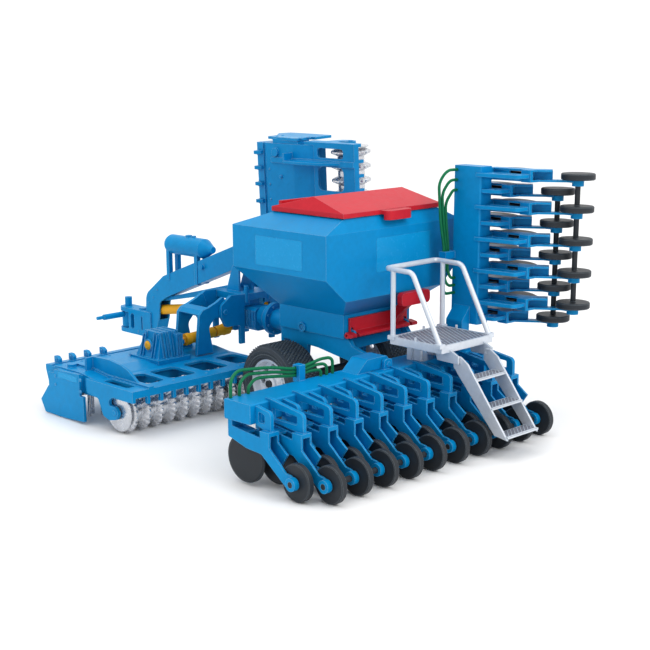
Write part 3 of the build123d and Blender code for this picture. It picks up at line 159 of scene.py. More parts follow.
def bolt_faces(bm, foot, direction, across, height):
    """Hexagonal head on a thin washer."""
    along = Vector(direction).normalized()
    foot = Vector(foot)
    rod_faces(bm, foot - along * BOLT_SINK, foot + along * height * WASHER_HEIGHT,
              across * WASHER, steps=18)
    rod_faces(bm, foot, foot + along * height, across * 0.5, steps=6, tip=across * HEAD_TIP)


def prism_faces(bm, near, far):
    """Solid between two outlines with the same number of corners."""
    a, b = ([bm.verts.new(Vector(point) * MM) for point in row] for row in (near, far))
    for i in range(len(a)):
        j = (i + 1) % len(a)
        bm.faces.new((a[i], a[j], b[j], b[i]))
    bm.faces.new(a[::-1])
    bm.faces.new(b)


def plate_faces(bm, outline, low, high, flat="x"):
    """Plate with a straight-edged outline, across X or across Y."""
    near, far = ([(depth, a, z) if flat == "x" else (a, depth, z) for a, z in outline]
                 for depth in (low, high))
    prism_faces(bm, near, far)


def block_faces(bm, low, high, edge=0.25):
    """Box with chamfered edges along its top."""
    (x0, y0, z0), (x1, y1, z1) = low, high
    rings = [[(x0 + e, y0 + e, z), (x1 - e, y0 + e, z), (x1 - e, y1 - e, z), (x0 + e, y1 - e, z)]
             for z, e in ((z0, 0), (z1 - edge, 0), (z1, edge))]
    made = [[bm.verts.new(Vector(point) * MM) for point in ring] for ring in rings]
    bm.faces.new(made[0][::-1])
    bridge(bm, made)
    bm.faces.new(made[2])


def panel_faces(bm, across, up, depth, flat="x", corner=1.2):
    """Thin blank label with round corners, just proud of a flat wall."""
    sink, proud = 0.05, 0.12
    points = []
    for cx, cz, start in ((across[1] - corner, up[1] - corner, 0),
                          (across[0] + corner, up[1] - corner, 90),
                          (across[0] + corner, up[0] + corner, 180),
                          (across[1] - corner, up[0] + corner, 270)):
        for step in range(5):
            turn = math.radians(start + 22.5 * step)
            points.append((cx + corner * math.cos(turn), cz + corner * math.sin(turn)))
    out = 1 if flat == "x" else -1
    plate_faces(bm, points, depth - out * sink, depth + out * proud, flat)


def rib_faces(bm, start, end, across, heights):
    """Low rib with a narrow top between two points of a floor."""
    half_foot, half_top = 0.33, 0.2112
    foot, top = (Vector((0, 0, z)) for z in heights)
    near, far = ([point - across * half_foot + foot, point - across * half_top + top,
                  point + across * half_top + top, point + across * half_foot + foot]
                 for point in (Vector((*start, 0)), Vector((*end, 0))))
    prism_faces(bm, near, far)


def slanted_ribs(bm, half, along_y, degrees, pitch, heights):
    """Parallel ribs over a rectangle of the floor, turned off the Y axis, cut at its sides."""
    shortest = 1.5
    near, far = along_y
    turn = math.radians(degrees)
    slope = math.tan(turn)
    across = Vector((math.cos(turn), -math.sin(turn), 0))
    x = -half - (far - near) * slope
    while x < half:
        start = (x, near) if x > -half else (-half, near + (-half - x) / slope)
        end_x = x + (far - near) * slope
        end = (end_x, far) if end_x < half else (half, near + (half - x) / slope)
        if end[1] - start[1] > shortest:
            rib_faces(bm, start, end, across, heights)
        x += pitch * math.hypot(1.0, slope)


def finish_piece(name, bm, material, body, crease=CREASE):
    """Turns a mesh into a finished object that rides a body."""
    bmesh.ops.remove_doubles(bm, verts=bm.verts, dist=WELD)
    bmesh.ops.recalc_face_normals(bm, faces=bm.faces)
    mesh = bpy.data.meshes.new(name)
    bm.to_mesh(mesh)
    bm.free()
    if not mesh.polygons:
        raise RuntimeError(name + ": no faces were made")
    for polygon in mesh.polygons:
        polygon.use_smooth = True
    mesh.set_sharp_from_angle(angle=math.radians(crease))
    mesh.materials.append(bpy.data.materials[material])
    piece = bpy.data.objects.new(name, mesh)
    bpy.context.scene.collection.objects.link(piece)
    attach(piece, body)
    return piece


# Node trees

def tree_tools(tree):
    """Short ways to make a node, and to do a sum on sockets and numbers, in one tree."""
    def node(kind, **values):
        made = tree.nodes.new(kind)
        for key, value in values.items():
            setattr(made, key, value)
        return made

    def calc(operation, *values, clamp=False):
        made = node("ShaderNodeMath", operation=operation, use_clamp=clamp)
        for index, value in enumerate(values):
            if isinstance(value, (int, float)):
                made.inputs[index].default_value = value
            else:
                tree.links.new(value, made.inputs[index])
        return made.outputs[0]

    return node, calc


def add_sockets(tree, in_out, rows):
    """Named inputs, with their defaults, or named outputs of a node group."""
    for name, kind, *default in rows:
        socket = tree.interface.new_socket(name, in_out=in_out, socket_type="NodeSocket" + kind)
        if default:
            socket.default_value = default[0]


# Finishes

# Noise scale per metre, detail and roughness
BROAD_NOISE = (38.0, 3.0, 0.55)
CLOUD_NOISE = (260.0, 4.0, 0.6)
GRAIN_NOISE = (2600.0, 3.0, 0.6)
EDGE_RADIUS, EDGE_SAMPLES, EDGE_GAIN = 0.0007, 4, 6.0
HIGHLIGHT_SPREAD = 0.3
# Tint and share of the painted edge highlight
PALE, PALE_SHARE = (0.7, 0.86, 0.95, 1), 0.42
POLISH, HIGHLIGHT_POLISH = 0.22, 0.1
DENT_STRENGTH, DENT_DEPTH = 0.12, 0.0006
GRAIN_DEPTH = 0.00005


def surface_group():
    """Moulded surface: mottled colour, painted highlights on edges, fine grain and soft dents."""
    group = bpy.data.node_groups.new("moulded surface", "ShaderNodeTree")
    add_sockets(group, "INPUT", (
        ("Colour", "Color", (0.5, 0.5, 0.5, 1)), ("Mottle", "Float", 0.1), ("Wear", "Float", 0.3),
        ("Grain", "Float", 0.2), ("Roughness", "Float", 0.4)))
    add_sockets(group, "OUTPUT", (("Colour", "Color"), ("Roughness", "Float"),
                                  ("Normal", "Vector")))
    node, calc = tree_tools(group)
    link = group.links.new

    def noise(scale, detail, rough):
        made = node("ShaderNodeTexNoise")
        made.inputs["Scale"].default_value = scale
        made.inputs["Detail"].default_value = detail
        made.inputs["Roughness"].default_value = rough
        link(where.outputs["Object"], made.inputs["Vector"])
        return made.outputs["Fac"]

    given = node("NodeGroupInput").outputs
    out = node("NodeGroupOutput").inputs
    where = node("ShaderNodeTexCoord")
    broad = noise(*BROAD_NOISE)
    cloud = noise(*CLOUD_NOISE)
    grain = noise(*GRAIN_NOISE)

    # Painted edge highlight: a pale tint sits where the bevelled normal leaves the flat one
    bevel = node("ShaderNodeBevel", samples=EDGE_SAMPLES)
    bevel.inputs["Radius"].default_value = EDGE_RADIUS
    geometry = node("ShaderNodeNewGeometry")
    facing = node("ShaderNodeVectorMath", operation="DOT_PRODUCT")
    link(bevel.outputs["Normal"], facing.inputs[0])
    link(geometry.outputs["Normal"], facing.inputs[1])
    turned = calc("SUBTRACT", 1.0, facing.outputs["Value"], clamp=True)
    edge = calc("MULTIPLY", turned, EDGE_GAIN, clamp=True)
    broken = calc("MULTIPLY", edge, calc("ADD", cloud, HIGHLIGHT_SPREAD), clamp=True)
    edge_highlight = calc("MULTIPLY", broken, given["Wear"], clamp=True)

    # Light and dark patches
    spread = calc("SUBTRACT", calc("ADD", broad, cloud), 1.0)
    tint = node("ShaderNodeHueSaturation")
    link(given["Colour"], tint.inputs["Color"])
    link(calc("MULTIPLY_ADD", spread, given["Mottle"], 1.0), tint.inputs["Value"])
    lighter = node("ShaderNodeMix", data_type="RGBA")
    lighter.inputs["Factor"].default_value = PALE_SHARE
    lighter.inputs["B"].default_value = PALE
    link(tint.outputs["Color"], lighter.inputs["A"])
    # Painted edge highlight mixed over the patches
    highlit = node("ShaderNodeMix", data_type="RGBA")
    link(edge_highlight, highlit.inputs["Factor"])
    link(tint.outputs["Color"], highlit.inputs["A"])
    link(lighter.outputs["Result"], highlit.inputs["B"])
    link(highlit.outputs["Result"], out["Colour"])

    # Sheen varies with handling
    rough = calc("ADD", given["Roughness"], calc("MULTIPLY", calc("SUBTRACT", cloud, 0.5), POLISH))
    link(calc("SUBTRACT", rough, calc("MULTIPLY", edge_highlight, HIGHLIGHT_POLISH), clamp=True),
         out["Roughness"])

    # Grain over soft dents
    dents = node("ShaderNodeBump")
    dents.inputs["Strength"].default_value = DENT_STRENGTH
    dents.inputs["Distance"].default_value = DENT_DEPTH
    link(broad, dents.inputs["Height"])
    link(bevel.outputs["Normal"], dents.inputs["Normal"])
    fine = node("ShaderNodeBump")
    fine.inputs["Distance"].default_value = GRAIN_DEPTH
    link(given["Grain"], fine.inputs["Strength"])
    link(grain, fine.inputs["Height"])
    link(dents.outputs["Normal"], fine.inputs["Normal"])
    link(fine.outputs["Normal"], out["Normal"])
    return group


# name, colour setting, mottle, painted edge highlight, grain, roughness, metallic, specular
FINISHES = (
    ("blue_moulding", "blue", 0.24, 0.85, 0.20, 0.36, 0.0, 0.18),
    ("blue_label", "label", 0.08, 0.20, 0.04, 0.25, 0.0, 0.25),
    ("red_moulding", "red", 0.20, 0.45, 0.20, 0.38, 0.0, 0.20),
    ("yellow_moulding", "yellow", 0.25, 0.40, 0.25, 0.42, 0.0, 0.25),
    ("green_tube", "green", 0.30, 0.40, 0.25, 0.42, 0.0, 0.20),
    ("grey_moulding", "grey", 0.20, 0.90, 0.25, 0.36, 0.35, 0.40),
    # Dark sheets under the grating's ribs: painted shade between the ribs
    ("grey_floor", "floor_grey", 0.30, 0.50, 0.40, 0.55, 0.2, 0.30),
    ("dark_moulding", "dark", 0.30, 0.60, 0.35, 0.48, 0.0, 0.35),
    # The silver's strong mottle is painted reflection: dark streaks stand in for reflected surroundings
    ("silver_moulding", "silver", 0.60, 0.60, 0.45, 0.26, 0.85, 0.50),
    ("tread_rubber", "rubber", 0.40, 0.60, 0.60, 0.66, 0.0, 0.30),
)

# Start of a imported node's name and its finish; the first match counts
NODE_FINISH = (
    ("disc_openers", "dark_moulding"), ("press_wheels", "dark_moulding"),
    ("harrow_tines", "silver_moulding"), ("axle", "dark_moulding"), ("hoses", "green_tube"),
    ("outlet_flap", "red_moulding"), ("hopper_lid", "red_moulding"),
    ("shaft_", "yellow_moulding"), ("input_shaft", "yellow_moulding"),
    ("platform", "grey_moulding"), ("railing", "grey_moulding"), ("ladder", "grey_moulding"),
    ("rim", "grey_moulding"), ("packer_roller", "silver_moulding"), ("tyre", "tread_rubber"),
    ("", "blue_moulding"),
)


def make_finish(group, name, colour, mottle, edge_highlight, grain, roughness, metallic, specular):
    """One plastic: the shared surface group with its own values."""
    material = bpy.data.materials.new(name)
    material.use_nodes = True
    nodes, links = material.node_tree.nodes, material.node_tree.links
    shader = nodes["Principled BSDF"]
    skin = nodes.new("ShaderNodeGroup")
    skin.node_tree = group
    for key, value in (("Colour", (*colour, 1)), ("Mottle", mottle), ("Wear", edge_highlight),
                       ("Grain", grain), ("Roughness", roughness)):
        skin.inputs[key].default_value = value
    for key, target in (("Colour", "Base Color"), ("Roughness", "Roughness"),
                        ("Normal", "Normal")):
        links.new(skin.outputs[key], shader.inputs[target])
    shader.inputs["Metallic"].default_value = metallic
    shader.inputs["Specular IOR Level"].default_value = specular


# Tyre tread

BLOCKS_AROUND = 66
BLOCK_RADIUS, BLOCK_TAPER, BLOCK_CORNERS = 0.98, 0.70, 5
BLOCK_SIZES = (0.68, 1.15)
BLOCK_SINK, BLOCK_RISE = 0.06, 0.03
TREAD_MARGIN = 9.5
TREAD_SEED = 3
FEWEST_FACES = 100


def block_ring_tree(material):
    """Rows of small tapered blocks set round a wheel that turns about a line along X."""
    tree = bpy.data.node_groups.new("tread blocks", "GeometryNodeTree")
    add_sockets(tree, "INPUT", (
        ("Geometry", "Geometry"), ("Around", "Int", 90), ("Rows", "Int", 12),
        ("Radius", "Float", 0.031), ("Row Pitch", "Float", 0.002), ("Block", "Float", 0.0009),
        ("Height", "Float", 0.0009), ("Centre", "Vector", (0, 0, 0)), ("Seed", "Int", 3)))
    add_sockets(tree, "OUTPUT", (("Geometry", "Geometry"),))
    node, calc = tree_tools(tree)
    link = tree.links.new
    given = node("NodeGroupInput").outputs
    out = node("NodeGroupOutput").inputs

    # A line of row centres along X
    start = node("ShaderNodeCombineXYZ")
    span = calc("MULTIPLY", calc("SUBTRACT", given["Rows"], 1.0), given["Row Pitch"])
    link(calc("MULTIPLY", span, -0.5), start.inputs["X"])
    step = node("ShaderNodeCombineXYZ")
    link(given["Row Pitch"], step.inputs["X"])
    line = node("GeometryNodeMeshLine", mode="OFFSET")
    link(given["Rows"], line.inputs["Count"])
    link(start.outputs[0], line.inputs["Start Location"])
    link(step.outputs[0], line.inputs["Offset"])

    # One circle of points for each row, every second one turned by half a step
    circle = node("GeometryNodeMeshCircle")
    link(given["Around"], circle.inputs["Vertices"])
    link(given["Radius"], circle.inputs["Radius"])
    upright = node("GeometryNodeTransform")
    upright.inputs["Rotation"].default_value = (0, math.pi / 2, 0)
    link(circle.outputs[0], upright.inputs["Geometry"])
    index = node("GeometryNodeInputIndex")
    half_step = calc("DIVIDE", math.pi, given["Around"])
    turned = node("ShaderNodeCombineXYZ")
    link(calc("MULTIPLY", calc("MODULO", index.outputs[0], 2.0), half_step), turned.inputs["X"])
    as_rotation = node("FunctionNodeEulerToRotation")
    link(turned.outputs[0], as_rotation.inputs[0])
    rows = node("GeometryNodeInstanceOnPoints")
    link(line.outputs[0], rows.inputs["Points"])
    link(upright.outputs[0], rows.inputs["Instance"])
    link(as_rotation.outputs[0], rows.inputs["Rotation"])
    points = node("GeometryNodeRealizeInstances")
    link(rows.outputs[0], points.inputs["Geometry"])

    # A tapered block on each point, facing outwards, of a random width
    block = node("GeometryNodeMeshCone")
    block.inputs["Vertices"].default_value = BLOCK_CORNERS
    link(calc("MULTIPLY", given["Block"], BLOCK_TAPER), block.inputs["Radius Top"])
    link(given["Block"], block.inputs["Radius Bottom"])
    link(given["Height"], block.inputs["Depth"])
    position = node("GeometryNodeInputPosition")
    flat = node("ShaderNodeVectorMath", operation="MULTIPLY")
    flat.inputs[1].default_value = (0, 1, 1)
    link(position.outputs[0], flat.inputs[0])
    outward = node("FunctionNodeAlignRotationToVector", axis="Z", pivot_axis="X")
    link(flat.outputs[0], outward.inputs["Vector"])
    size = node("FunctionNodeRandomValue", data_type="FLOAT")
    size.inputs["Min"].default_value, size.inputs["Max"].default_value = BLOCK_SIZES
    link(given["Seed"], [socket for socket in size.inputs if socket.name == "Seed"][-1])
    chance = [socket for socket in size.outputs if socket.enabled][0]
    wide = node("ShaderNodeCombineXYZ")
    link(chance, wide.inputs["X"])
    link(chance, wide.inputs["Y"])
    wide.inputs["Z"].default_value = 1.0
    blocks = node("GeometryNodeInstanceOnPoints")
    link(points.outputs[0], blocks.inputs["Points"])
    link(block.outputs[0], blocks.inputs["Instance"])
    link(outward.outputs[0], blocks.inputs["Rotation"])
    link(wide.outputs[0], blocks.inputs["Scale"])
    moved = node("GeometryNodeTransform")
    link(blocks.outputs[0], moved.inputs["Geometry"])
    link(given["Centre"], moved.inputs["Translation"])

    # Blocks and carcass become one mesh with one finish
    together = node("GeometryNodeJoinGeometry")
    link(moved.outputs[0], together.inputs["Geometry"])
    link(given["Geometry"], together.inputs["Geometry"])
    real = node("GeometryNodeRealizeInstances")
    link(together.outputs[0], real.inputs["Geometry"])
    finish = node("GeometryNodeSetMaterial")
    finish.inputs["Material"].default_value = material
    link(real.outputs[0], finish.inputs["Geometry"])
    link(finish.outputs[0], out["Geometry"])
    return tree


def through_nodes(name, bm, tree, values):
    """Evaluates a node tree on a mesh once and returns the plain result."""
    bmesh.ops.recalc_face_normals(bm, faces=bm.faces)
    mesh = bpy.data.meshes.new(name + "_base")
    bm.to_mesh(mesh)
    bm.free()
    base = bpy.data.objects.new(name + "_base", mesh)
    bpy.context.scene.collection.objects.link(base)
    modifier = base.modifiers.new("tree", "NODES")
    modifier.node_group = tree
    for item in tree.interface.items_tree:
        if item.item_type == "SOCKET" and item.in_out == "INPUT" and item.name in values:
            modifier[item.identifier] = values[item.name]
    bpy.context.view_layer.update()
    graph = bpy.context.evaluated_depsgraph_get()
    made = bpy.data.meshes.new_from_object(base.evaluated_get(graph), depsgraph=graph)
    bpy.data.objects.remove(base)
    bpy.data.meshes.remove(mesh)
    if len(made.polygons) < FEWEST_FACES:
        raise RuntimeError(name + ": the node tree made no blocks")
    result = bmesh.new()
    result.from_mesh(made)
    bpy.data.meshes.remove(made)
    return result


# Packer rollers

# How far each of a tooth's six steps lies inside the ring's edge
TOOTH = (0.0, 0.0, 0.1, 0.5, 1.0, 0.4)
TOOTH_SHIFT = 2
RING_CREASE = 28.0
RING_SECTION = ((-3.9, DRUM_RADIUS), (-3.4, DRUM_RADIUS + 0.5), (-1.4, RING_RADIUS - 0.7),
                (-0.9, RING_RADIUS), (0.9, RING_RADIUS), (1.4, RING_RADIUS - 0.7),
                (3.4, DRUM_RADIUS + 0.5), (3.9, DRUM_RADIUS))
ROLLER_PINS = ((171.0, 175.0), (35.4, 31.5))
ROLLER_PIN_RADIUS = 2.0


def roller_faces(bm, teeth):
    """Drum with toothed rings and a pin at each end."""
    steps = teeth * len(TOOTH)
    y, z = ROLLER_AXIS
    first = ROLLER_MIDDLE - (RING_COUNT - 1) / 2 * RING_PITCH
    places = [first + RING_PITCH * index for index in range(RING_COUNT)]
    rings = [(x + dx, radius) for x in places for dx, radius in RING_SECTION]
    profile = [(ROLLER_INNER, 0), (ROLLER_INNER, RING_RADIUS - 2),
               (ROLLER_INNER + 1, RING_RADIUS - 1.4)] + rings[1:-1]
    profile += [(ROLLER_OUTER - 1, RING_RADIUS - 1.4), (ROLLER_OUTER, RING_RADIUS - 2),
                (ROLLER_OUTER, 0)]
    made = []
    for x, radius in profile:
        near = min(range(RING_COUNT), key=lambda index: abs(places[index] - x))
        toothed = radius >= RING_RADIUS - 0.9 and abs(places[near] - x) <= 1.5
        if not toothed:
            ring = [(y + a, z + b) for a, b in ring_points(radius, steps)]
        else:
            ring = []
            for step in range(steps):
                turn = 2 * math.pi * step / steps
                r = radius - TOOTH[(step + TOOTH_SHIFT * near) % len(TOOTH)]
                ring.append((y + r * math.cos(turn), z + r * math.sin(turn)))
        made.append([bm.verts.new((x * MM, a * MM, b * MM)) for a, b in ring])
    bridge(bm, made)
    for start, end in ROLLER_PINS:
        rod_faces(bm, (start, y, z), (end, y, z), ROLLER_PIN_RADIUS)


# Grating

DECK_SLANT, DECK_PITCH = 31.0, 1.3
TREAD_SLANT = 47.0
PEGS = ((-DECK_HALF - 0.9, 52.0), (8.0, DECK_FRONT + 0.9), (DECK_HALF + 0.9, 60.0))
PEG_RADIUS, PEG_TIP, PEG_HEIGHT = 1.0, 0.6, 2.6
SOCKET_PLACES = [(x, y) for x in (-28.5, 28.5) for y in (74.7, 28.0)]
SOCKET_HALF_X, SOCKET_HALF_Y = 2.9, 3.0
SHADE_SHEET_EDGE = 0.05


def deck_faces(bm, pitch):
    """Ribs, pegs and rail sockets on the platform."""
    slanted_ribs(bm, DECK_HALF, (DECK_REAR, DECK_FRONT), DECK_SLANT, DECK_PITCH * pitch,
                 (DECK_TOP - 0.75, DECK_TOP - 0.05))
    for x, y in PEGS:
        rod_faces(bm, (x, y, DECK_TOP - 0.2), (x, y, DECK_TOP + PEG_HEIGHT), PEG_RADIUS,
                  tip=PEG_TIP)
    for x, y in SOCKET_PLACES:
        block_faces(bm, (x - SOCKET_HALF_X, y - SOCKET_HALF_Y, DECK_TOP - 2.2),
                    (x + SOCKET_HALF_X, y + SOCKET_HALF_Y, DECK_TOP + 1.2))


def tread_faces(bm, pitch):
    """Ribs and front lip on each of the ladder's treads."""
    for z, y in TREADS:
        slanted_ribs(bm, TREAD_HALF, (y + 0.8, y + TREAD_DEPTH), TREAD_SLANT, pitch,
                     (z - 0.1, z + 0.5))
        block_faces(bm, (-TREAD_HALF - 0.6, y - 1.0, z - 0.2),
                    (TREAD_HALF + 0.6, y + 0.3, z + 0.5))


def deck_rib_shade(bm):
    """Thin dark sheet under the platform's ribs: painted shade between them."""
    block_faces(bm, (-DECK_HALF - 0.1, DECK_REAR - 0.1, 78.3),
                (DECK_HALF + 0.1, DECK_FRONT + 0.1, 78.95), edge=SHADE_SHEET_EDGE)


def tread_rib_shade(bm):
    """Thin dark sheet under the ribs of each tread: painted shade between them."""
    for z, y in TREADS:
        block_faces(bm, (-TREAD_HALF - 0.4, y + 0.6, z - 0.3),
                    (TREAD_HALF + 0.4, y + TREAD_DEPTH, z + 0.06), edge=SHADE_SHEET_EDGE)


# Fittings

# Foot's place, direction, width across and height of each hexagon head
HARROW_BOLTS = (
    *(((177.2, y, z), ALONG_X, 2.4, 0.9)
      for y, z in ((275.5, 36.5), (311.0, 34.0), (275.5, 27.0), (311.0, 27.0))),
    *(((x, 302.0, 42.1), ALONG_Z, 2.0, 0.9) for x in (73.0, 109.0)),
    *(((x, 316.0, 40.4), ALONG_Z, 2.2, 0.8) for x in (48.0, 60.0, 120.0, 134.0, 148.0)),
    *(((x, 216.0, 38.3), ALONG_Z, 2.0, 0.7) for x in (61.8, 96.4, 129.6)),
)
BOLTS_ROUND = [math.radians(45 * index + 22.5) for index in range(8)]


def gearbox_cap(bm):
    """Domed cap on the wing gearbox's outer face."""
    spin_faces(bm, [(103.3, 0), (103.3, 3.9), (104.6, 3.9), (105.0, 3.5), (105.3, 2.6),
                    (105.6, 2.4), (105.6, 0)], GEARBOX_AXIS, 32)


def gearbox_fins(bm):
    """Cooling fins up the wing gearbox's sides, with the collar round its cap."""
    half_long, half_cross = 0.55, 0.5
    over = [(266.9, 41.0), (271.3, 63.6), (291.9, 63.6), (301.2, 41.0)]
    for dx in (-9.2, -3.0, 3.0, 8.6):
        plate_faces(bm, over, GEARBOX_MIDDLE + dx - half_long, GEARBOX_MIDDLE + dx + half_long)
    for y, top in ((273.5, 62.0), (277.2, 62.8), (288.6, 62.8), (292.3, 60.0)):
        outer = [(99.0, 41.4), (105.9, 41.4), (101.7, top), (97.5, top)]
        plate_faces(bm, outer, y - half_cross, y + half_cross, flat="y")
    spin_faces(bm, [(103.0, 5.4), (104.4, 5.2), (104.4, 4.1), (103.2, 4.0)], GEARBOX_AXIS, 32)


def harrow_lugs(bm):
    """Small ears with a pin along the deck's front edge."""
    outline = [(324.5, 40.2), (324.5, 43.4), (327.5, 45.4), (331.4, 45.4), (331.4, 40.2)]
    half, pin_half, pin_radius = 1.6, 2.3, 1.1
    for x in (50.0, 66.0, 118.0, 134.0, 149.0, 163.0):
        plate_faces(bm, outline, x - half, x + half)
        rod_faces(bm, (x - pin_half, 328.4, 42.9), (x + pin_half, 328.4, 42.9), pin_radius,
                  steps=16)


def harrow_bolts(bm):
    """Heads on the end plate and the deck, and on the roller's pin."""
    for bolt in HARROW_BOLTS:
        bolt_faces(bm, *bolt)
    rod_faces(bm, (175.0, *ROLLER_AXIS), (175.8, *ROLLER_AXIS), 2.6, steps=6)


def plate_label(bm):
    """Blank label on the harrow's end plate."""
    panel_faces(bm, (279.5, 307.0), (33.4, 38.6), 177.4, corner=0.6)


def hub_bolts(bm):
    """Eight heads round the rim and a stepped hub cap."""
    y, z = WHEEL_AXIS
    for turn in BOLTS_ROUND:
        foot = (62.8, y + 11.2 * math.cos(turn) * 0.95, z + 11.2 * math.sin(turn) * 0.95)
        bolt_faces(bm, foot, ALONG_X, 1.8, 1.1)
    spin_faces(bm, [(65.4, 0), (65.4, 5.2), (66.6, 5.0), (67.6, 3.6), (67.9, 0)], WHEEL_AXIS, 32)


def hopper_boss(bm):
    """Round boss with its screw on the hopper's outlet box."""
    y, z = 164.3, 75.2
    spin_faces(bm, [(37.6, 4.3), (39.6, 4.0), (39.6, 2.5), (38.2, 2.3), (38.2, 0)], (y, z), 28)
    bolt_faces(bm, (38.2, y, z), ALONG_X, 2.8, 0.7)


def side_label(bm):
    """Blank label on the hopper's side."""
    panel_faces(bm, (124.0, 177.0), (129.0, 152.2), HOPPER_SIDE)


def rear_label(bm):
    """Blank label on the hopper's rear."""
    panel_faces(bm, (-22.0, 40.0), (124.6, 151.5), HOPPER_REAR, flat="y")


def hinge_heads(bm):
    """Heads at both ends of the coulter wing's hinge pin."""
    x, z = COULTER_HINGE
    for y, way in ((85.0, 1), (62.0, -1)):
        rod_faces(bm, (x, y, z), (x, y + way * 0.9, z), 2.4, steps=6)


def chassis_bolts(bm):
    """Rivets and bolts on the drawbar, harrow hinge pins and the blower's flange."""
    hinge_x, hinge_z = HARROW_HINGE
    for side in (-1, 1):
        for y, z in ((412.0, 58.0), (404.0, 64.0), (398.0, 72.0), (410.0, 34.0)):
            rod_faces(bm, (side * 6.4, y, z), (side * 7.0, y, z), 1.1, steps=14)
        for y, z in ((428.0, 27.5), (414.0, 27.5)):
            bolt_faces(bm, (side * 8.0, y, z), (side, 0, 0), 2.2, 0.8)
        for y, end in ((262.0, 261.0), (300.0, 301.0)):
            rod_faces(bm, (side * hinge_x, y, hinge_z), (side * hinge_x, end, hinge_z), 2.6,
                      steps=6)
    for turn in BOLTS_ROUND:
        foot = (11.4 * math.cos(turn), 236.5, 66.0 + 11.4 * math.sin(turn))
        bolt_faces(bm, foot, REARWARD, 2.0, 0.9)


# Start of the piece's name, its builder, finish, start of its body's name and slot
HARROW_FITTINGS = (
    ("plate_label_", plate_label, "blue_label", "harrow_wing_", "blue_plastic"),
    ("gearbox_cap_", gearbox_cap, "yellow_moulding", "harrow_wing_", "yellow_plastic"),
    ("gearbox_fins_", gearbox_fins, "blue_moulding", "harrow_wing_", "blue_plastic"),
    ("harrow_lugs_", harrow_lugs, "blue_moulding", "harrow_wing_", "blue_plastic"),
    ("harrow_bolts_", harrow_bolts, "blue_moulding", "harrow_wing_", "blue_plastic"),
)
SIDE_FITTINGS = (
    ("hub_bolts_", hub_bolts, "grey_moulding", "wheel_", "grey_plastic"),
    ("hopper_boss_", hopper_boss, "blue_moulding", "chassis", "blue_plastic"),
    ("side_label_", side_label, "blue_label", "chassis", "blue_plastic"),
)
REAR_LABEL = ("rear_label", rear_label, "blue_label", "chassis", "blue_plastic")
COULTER_FITTINGS = (("hinge_heads_", hinge_heads, "blue_moulding", "chassis", "blue_plastic"),)
CHASSIS_BOLTS = ("chassis_bolts", chassis_bolts, "blue_moulding", "chassis", "blue_plastic")


def fit(place, side, name, build, finish, body, slot):
    """One fitting; a body that comes in pairs is the one on the fitting's side."""
    body += side if body.endswith("_") else ""
    finish_piece(name + side, placed(build, place), finish, body)


# Settings

def colour_setting(name, description, value):
    return bpy.props.FloatVectorProperty(name=name, description=description, default=value, size=3,
                                         min=0.0, max=1.0, subtype="COLOR")


class SeedDrillSettings(bpy.types.PropertyGroup):
    blue: colour_setting("Blue", "Body plastic", (0.001, 0.245, 0.52))
    label: colour_setting("Bare label", "Blank label panels", (0.006, 0.30, 0.60))
    red: colour_setting("Red", "Lid and outlet flap", (0.52, 0.022, 0.038))
    yellow: colour_setting("Yellow", "Shaft guards and caps", (0.72, 0.37, 0.018))
    green: colour_setting("Green", "Seed hoses", (0.006, 0.17, 0.07))
    grey: colour_setting("Light grey", "Platform, railing, ladder and rims", (0.62, 0.66, 0.72))
    # Colour of the dark sheets under the grating's ribs: painted shade
    floor_grey: colour_setting("Rib shade grey", "Floor between the grating's ribs",
                               (0.23, 0.24, 0.28))
    dark: colour_setting("Dark grey", "Press wheels, discs and axle", (0.028, 0.033, 0.040))
    silver: colour_setting("Silver", "Packer rings and tines", (0.60, 0.61, 0.64))
    rubber: colour_setting("Rubber", "Tyres", (0.046, 0.057, 0.070))
    tread_depth: bpy.props.FloatProperty(
        name="Tread depth", description="Height of the tyre's blocks",
        default=0.0011, min=0.0002, max=0.002, unit="LENGTH")
    tread_rows: bpy.props.IntProperty(
        name="Tread rows", description="Rows of blocks across the tyre",
        default=11, min=3, max=20)
    ring_teeth: bpy.props.IntProperty(
        name="Ring teeth", description="Teeth round each packer ring",
        default=22, min=8, max=40)
    rib_pitch: bpy.props.FloatProperty(
        name="Rib pitch", description="From one rib of the ladder's treads to the next",
        default=0.0026, min=0.001, max=0.006, unit="LENGTH")


# Operators

class DRILL_OT_finishes(bpy.types.Operator):
    """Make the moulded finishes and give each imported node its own"""
    bl_idname = "drill.finishes"
    bl_label = "Finishes"

    def execute(self, context):
        settings = context.scene.seed_drill
        group = surface_group()
        for name, colour, *values in FINISHES:
            make_finish(group, name, getattr(settings, colour)[:], *values)
        for name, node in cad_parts.items():
            finish = next(word for start, word in NODE_FINISH if name.startswith(start))
            node.data.materials.clear()
            node.data.materials.append(bpy.data.materials[finish])
        return {"FINISHED"}


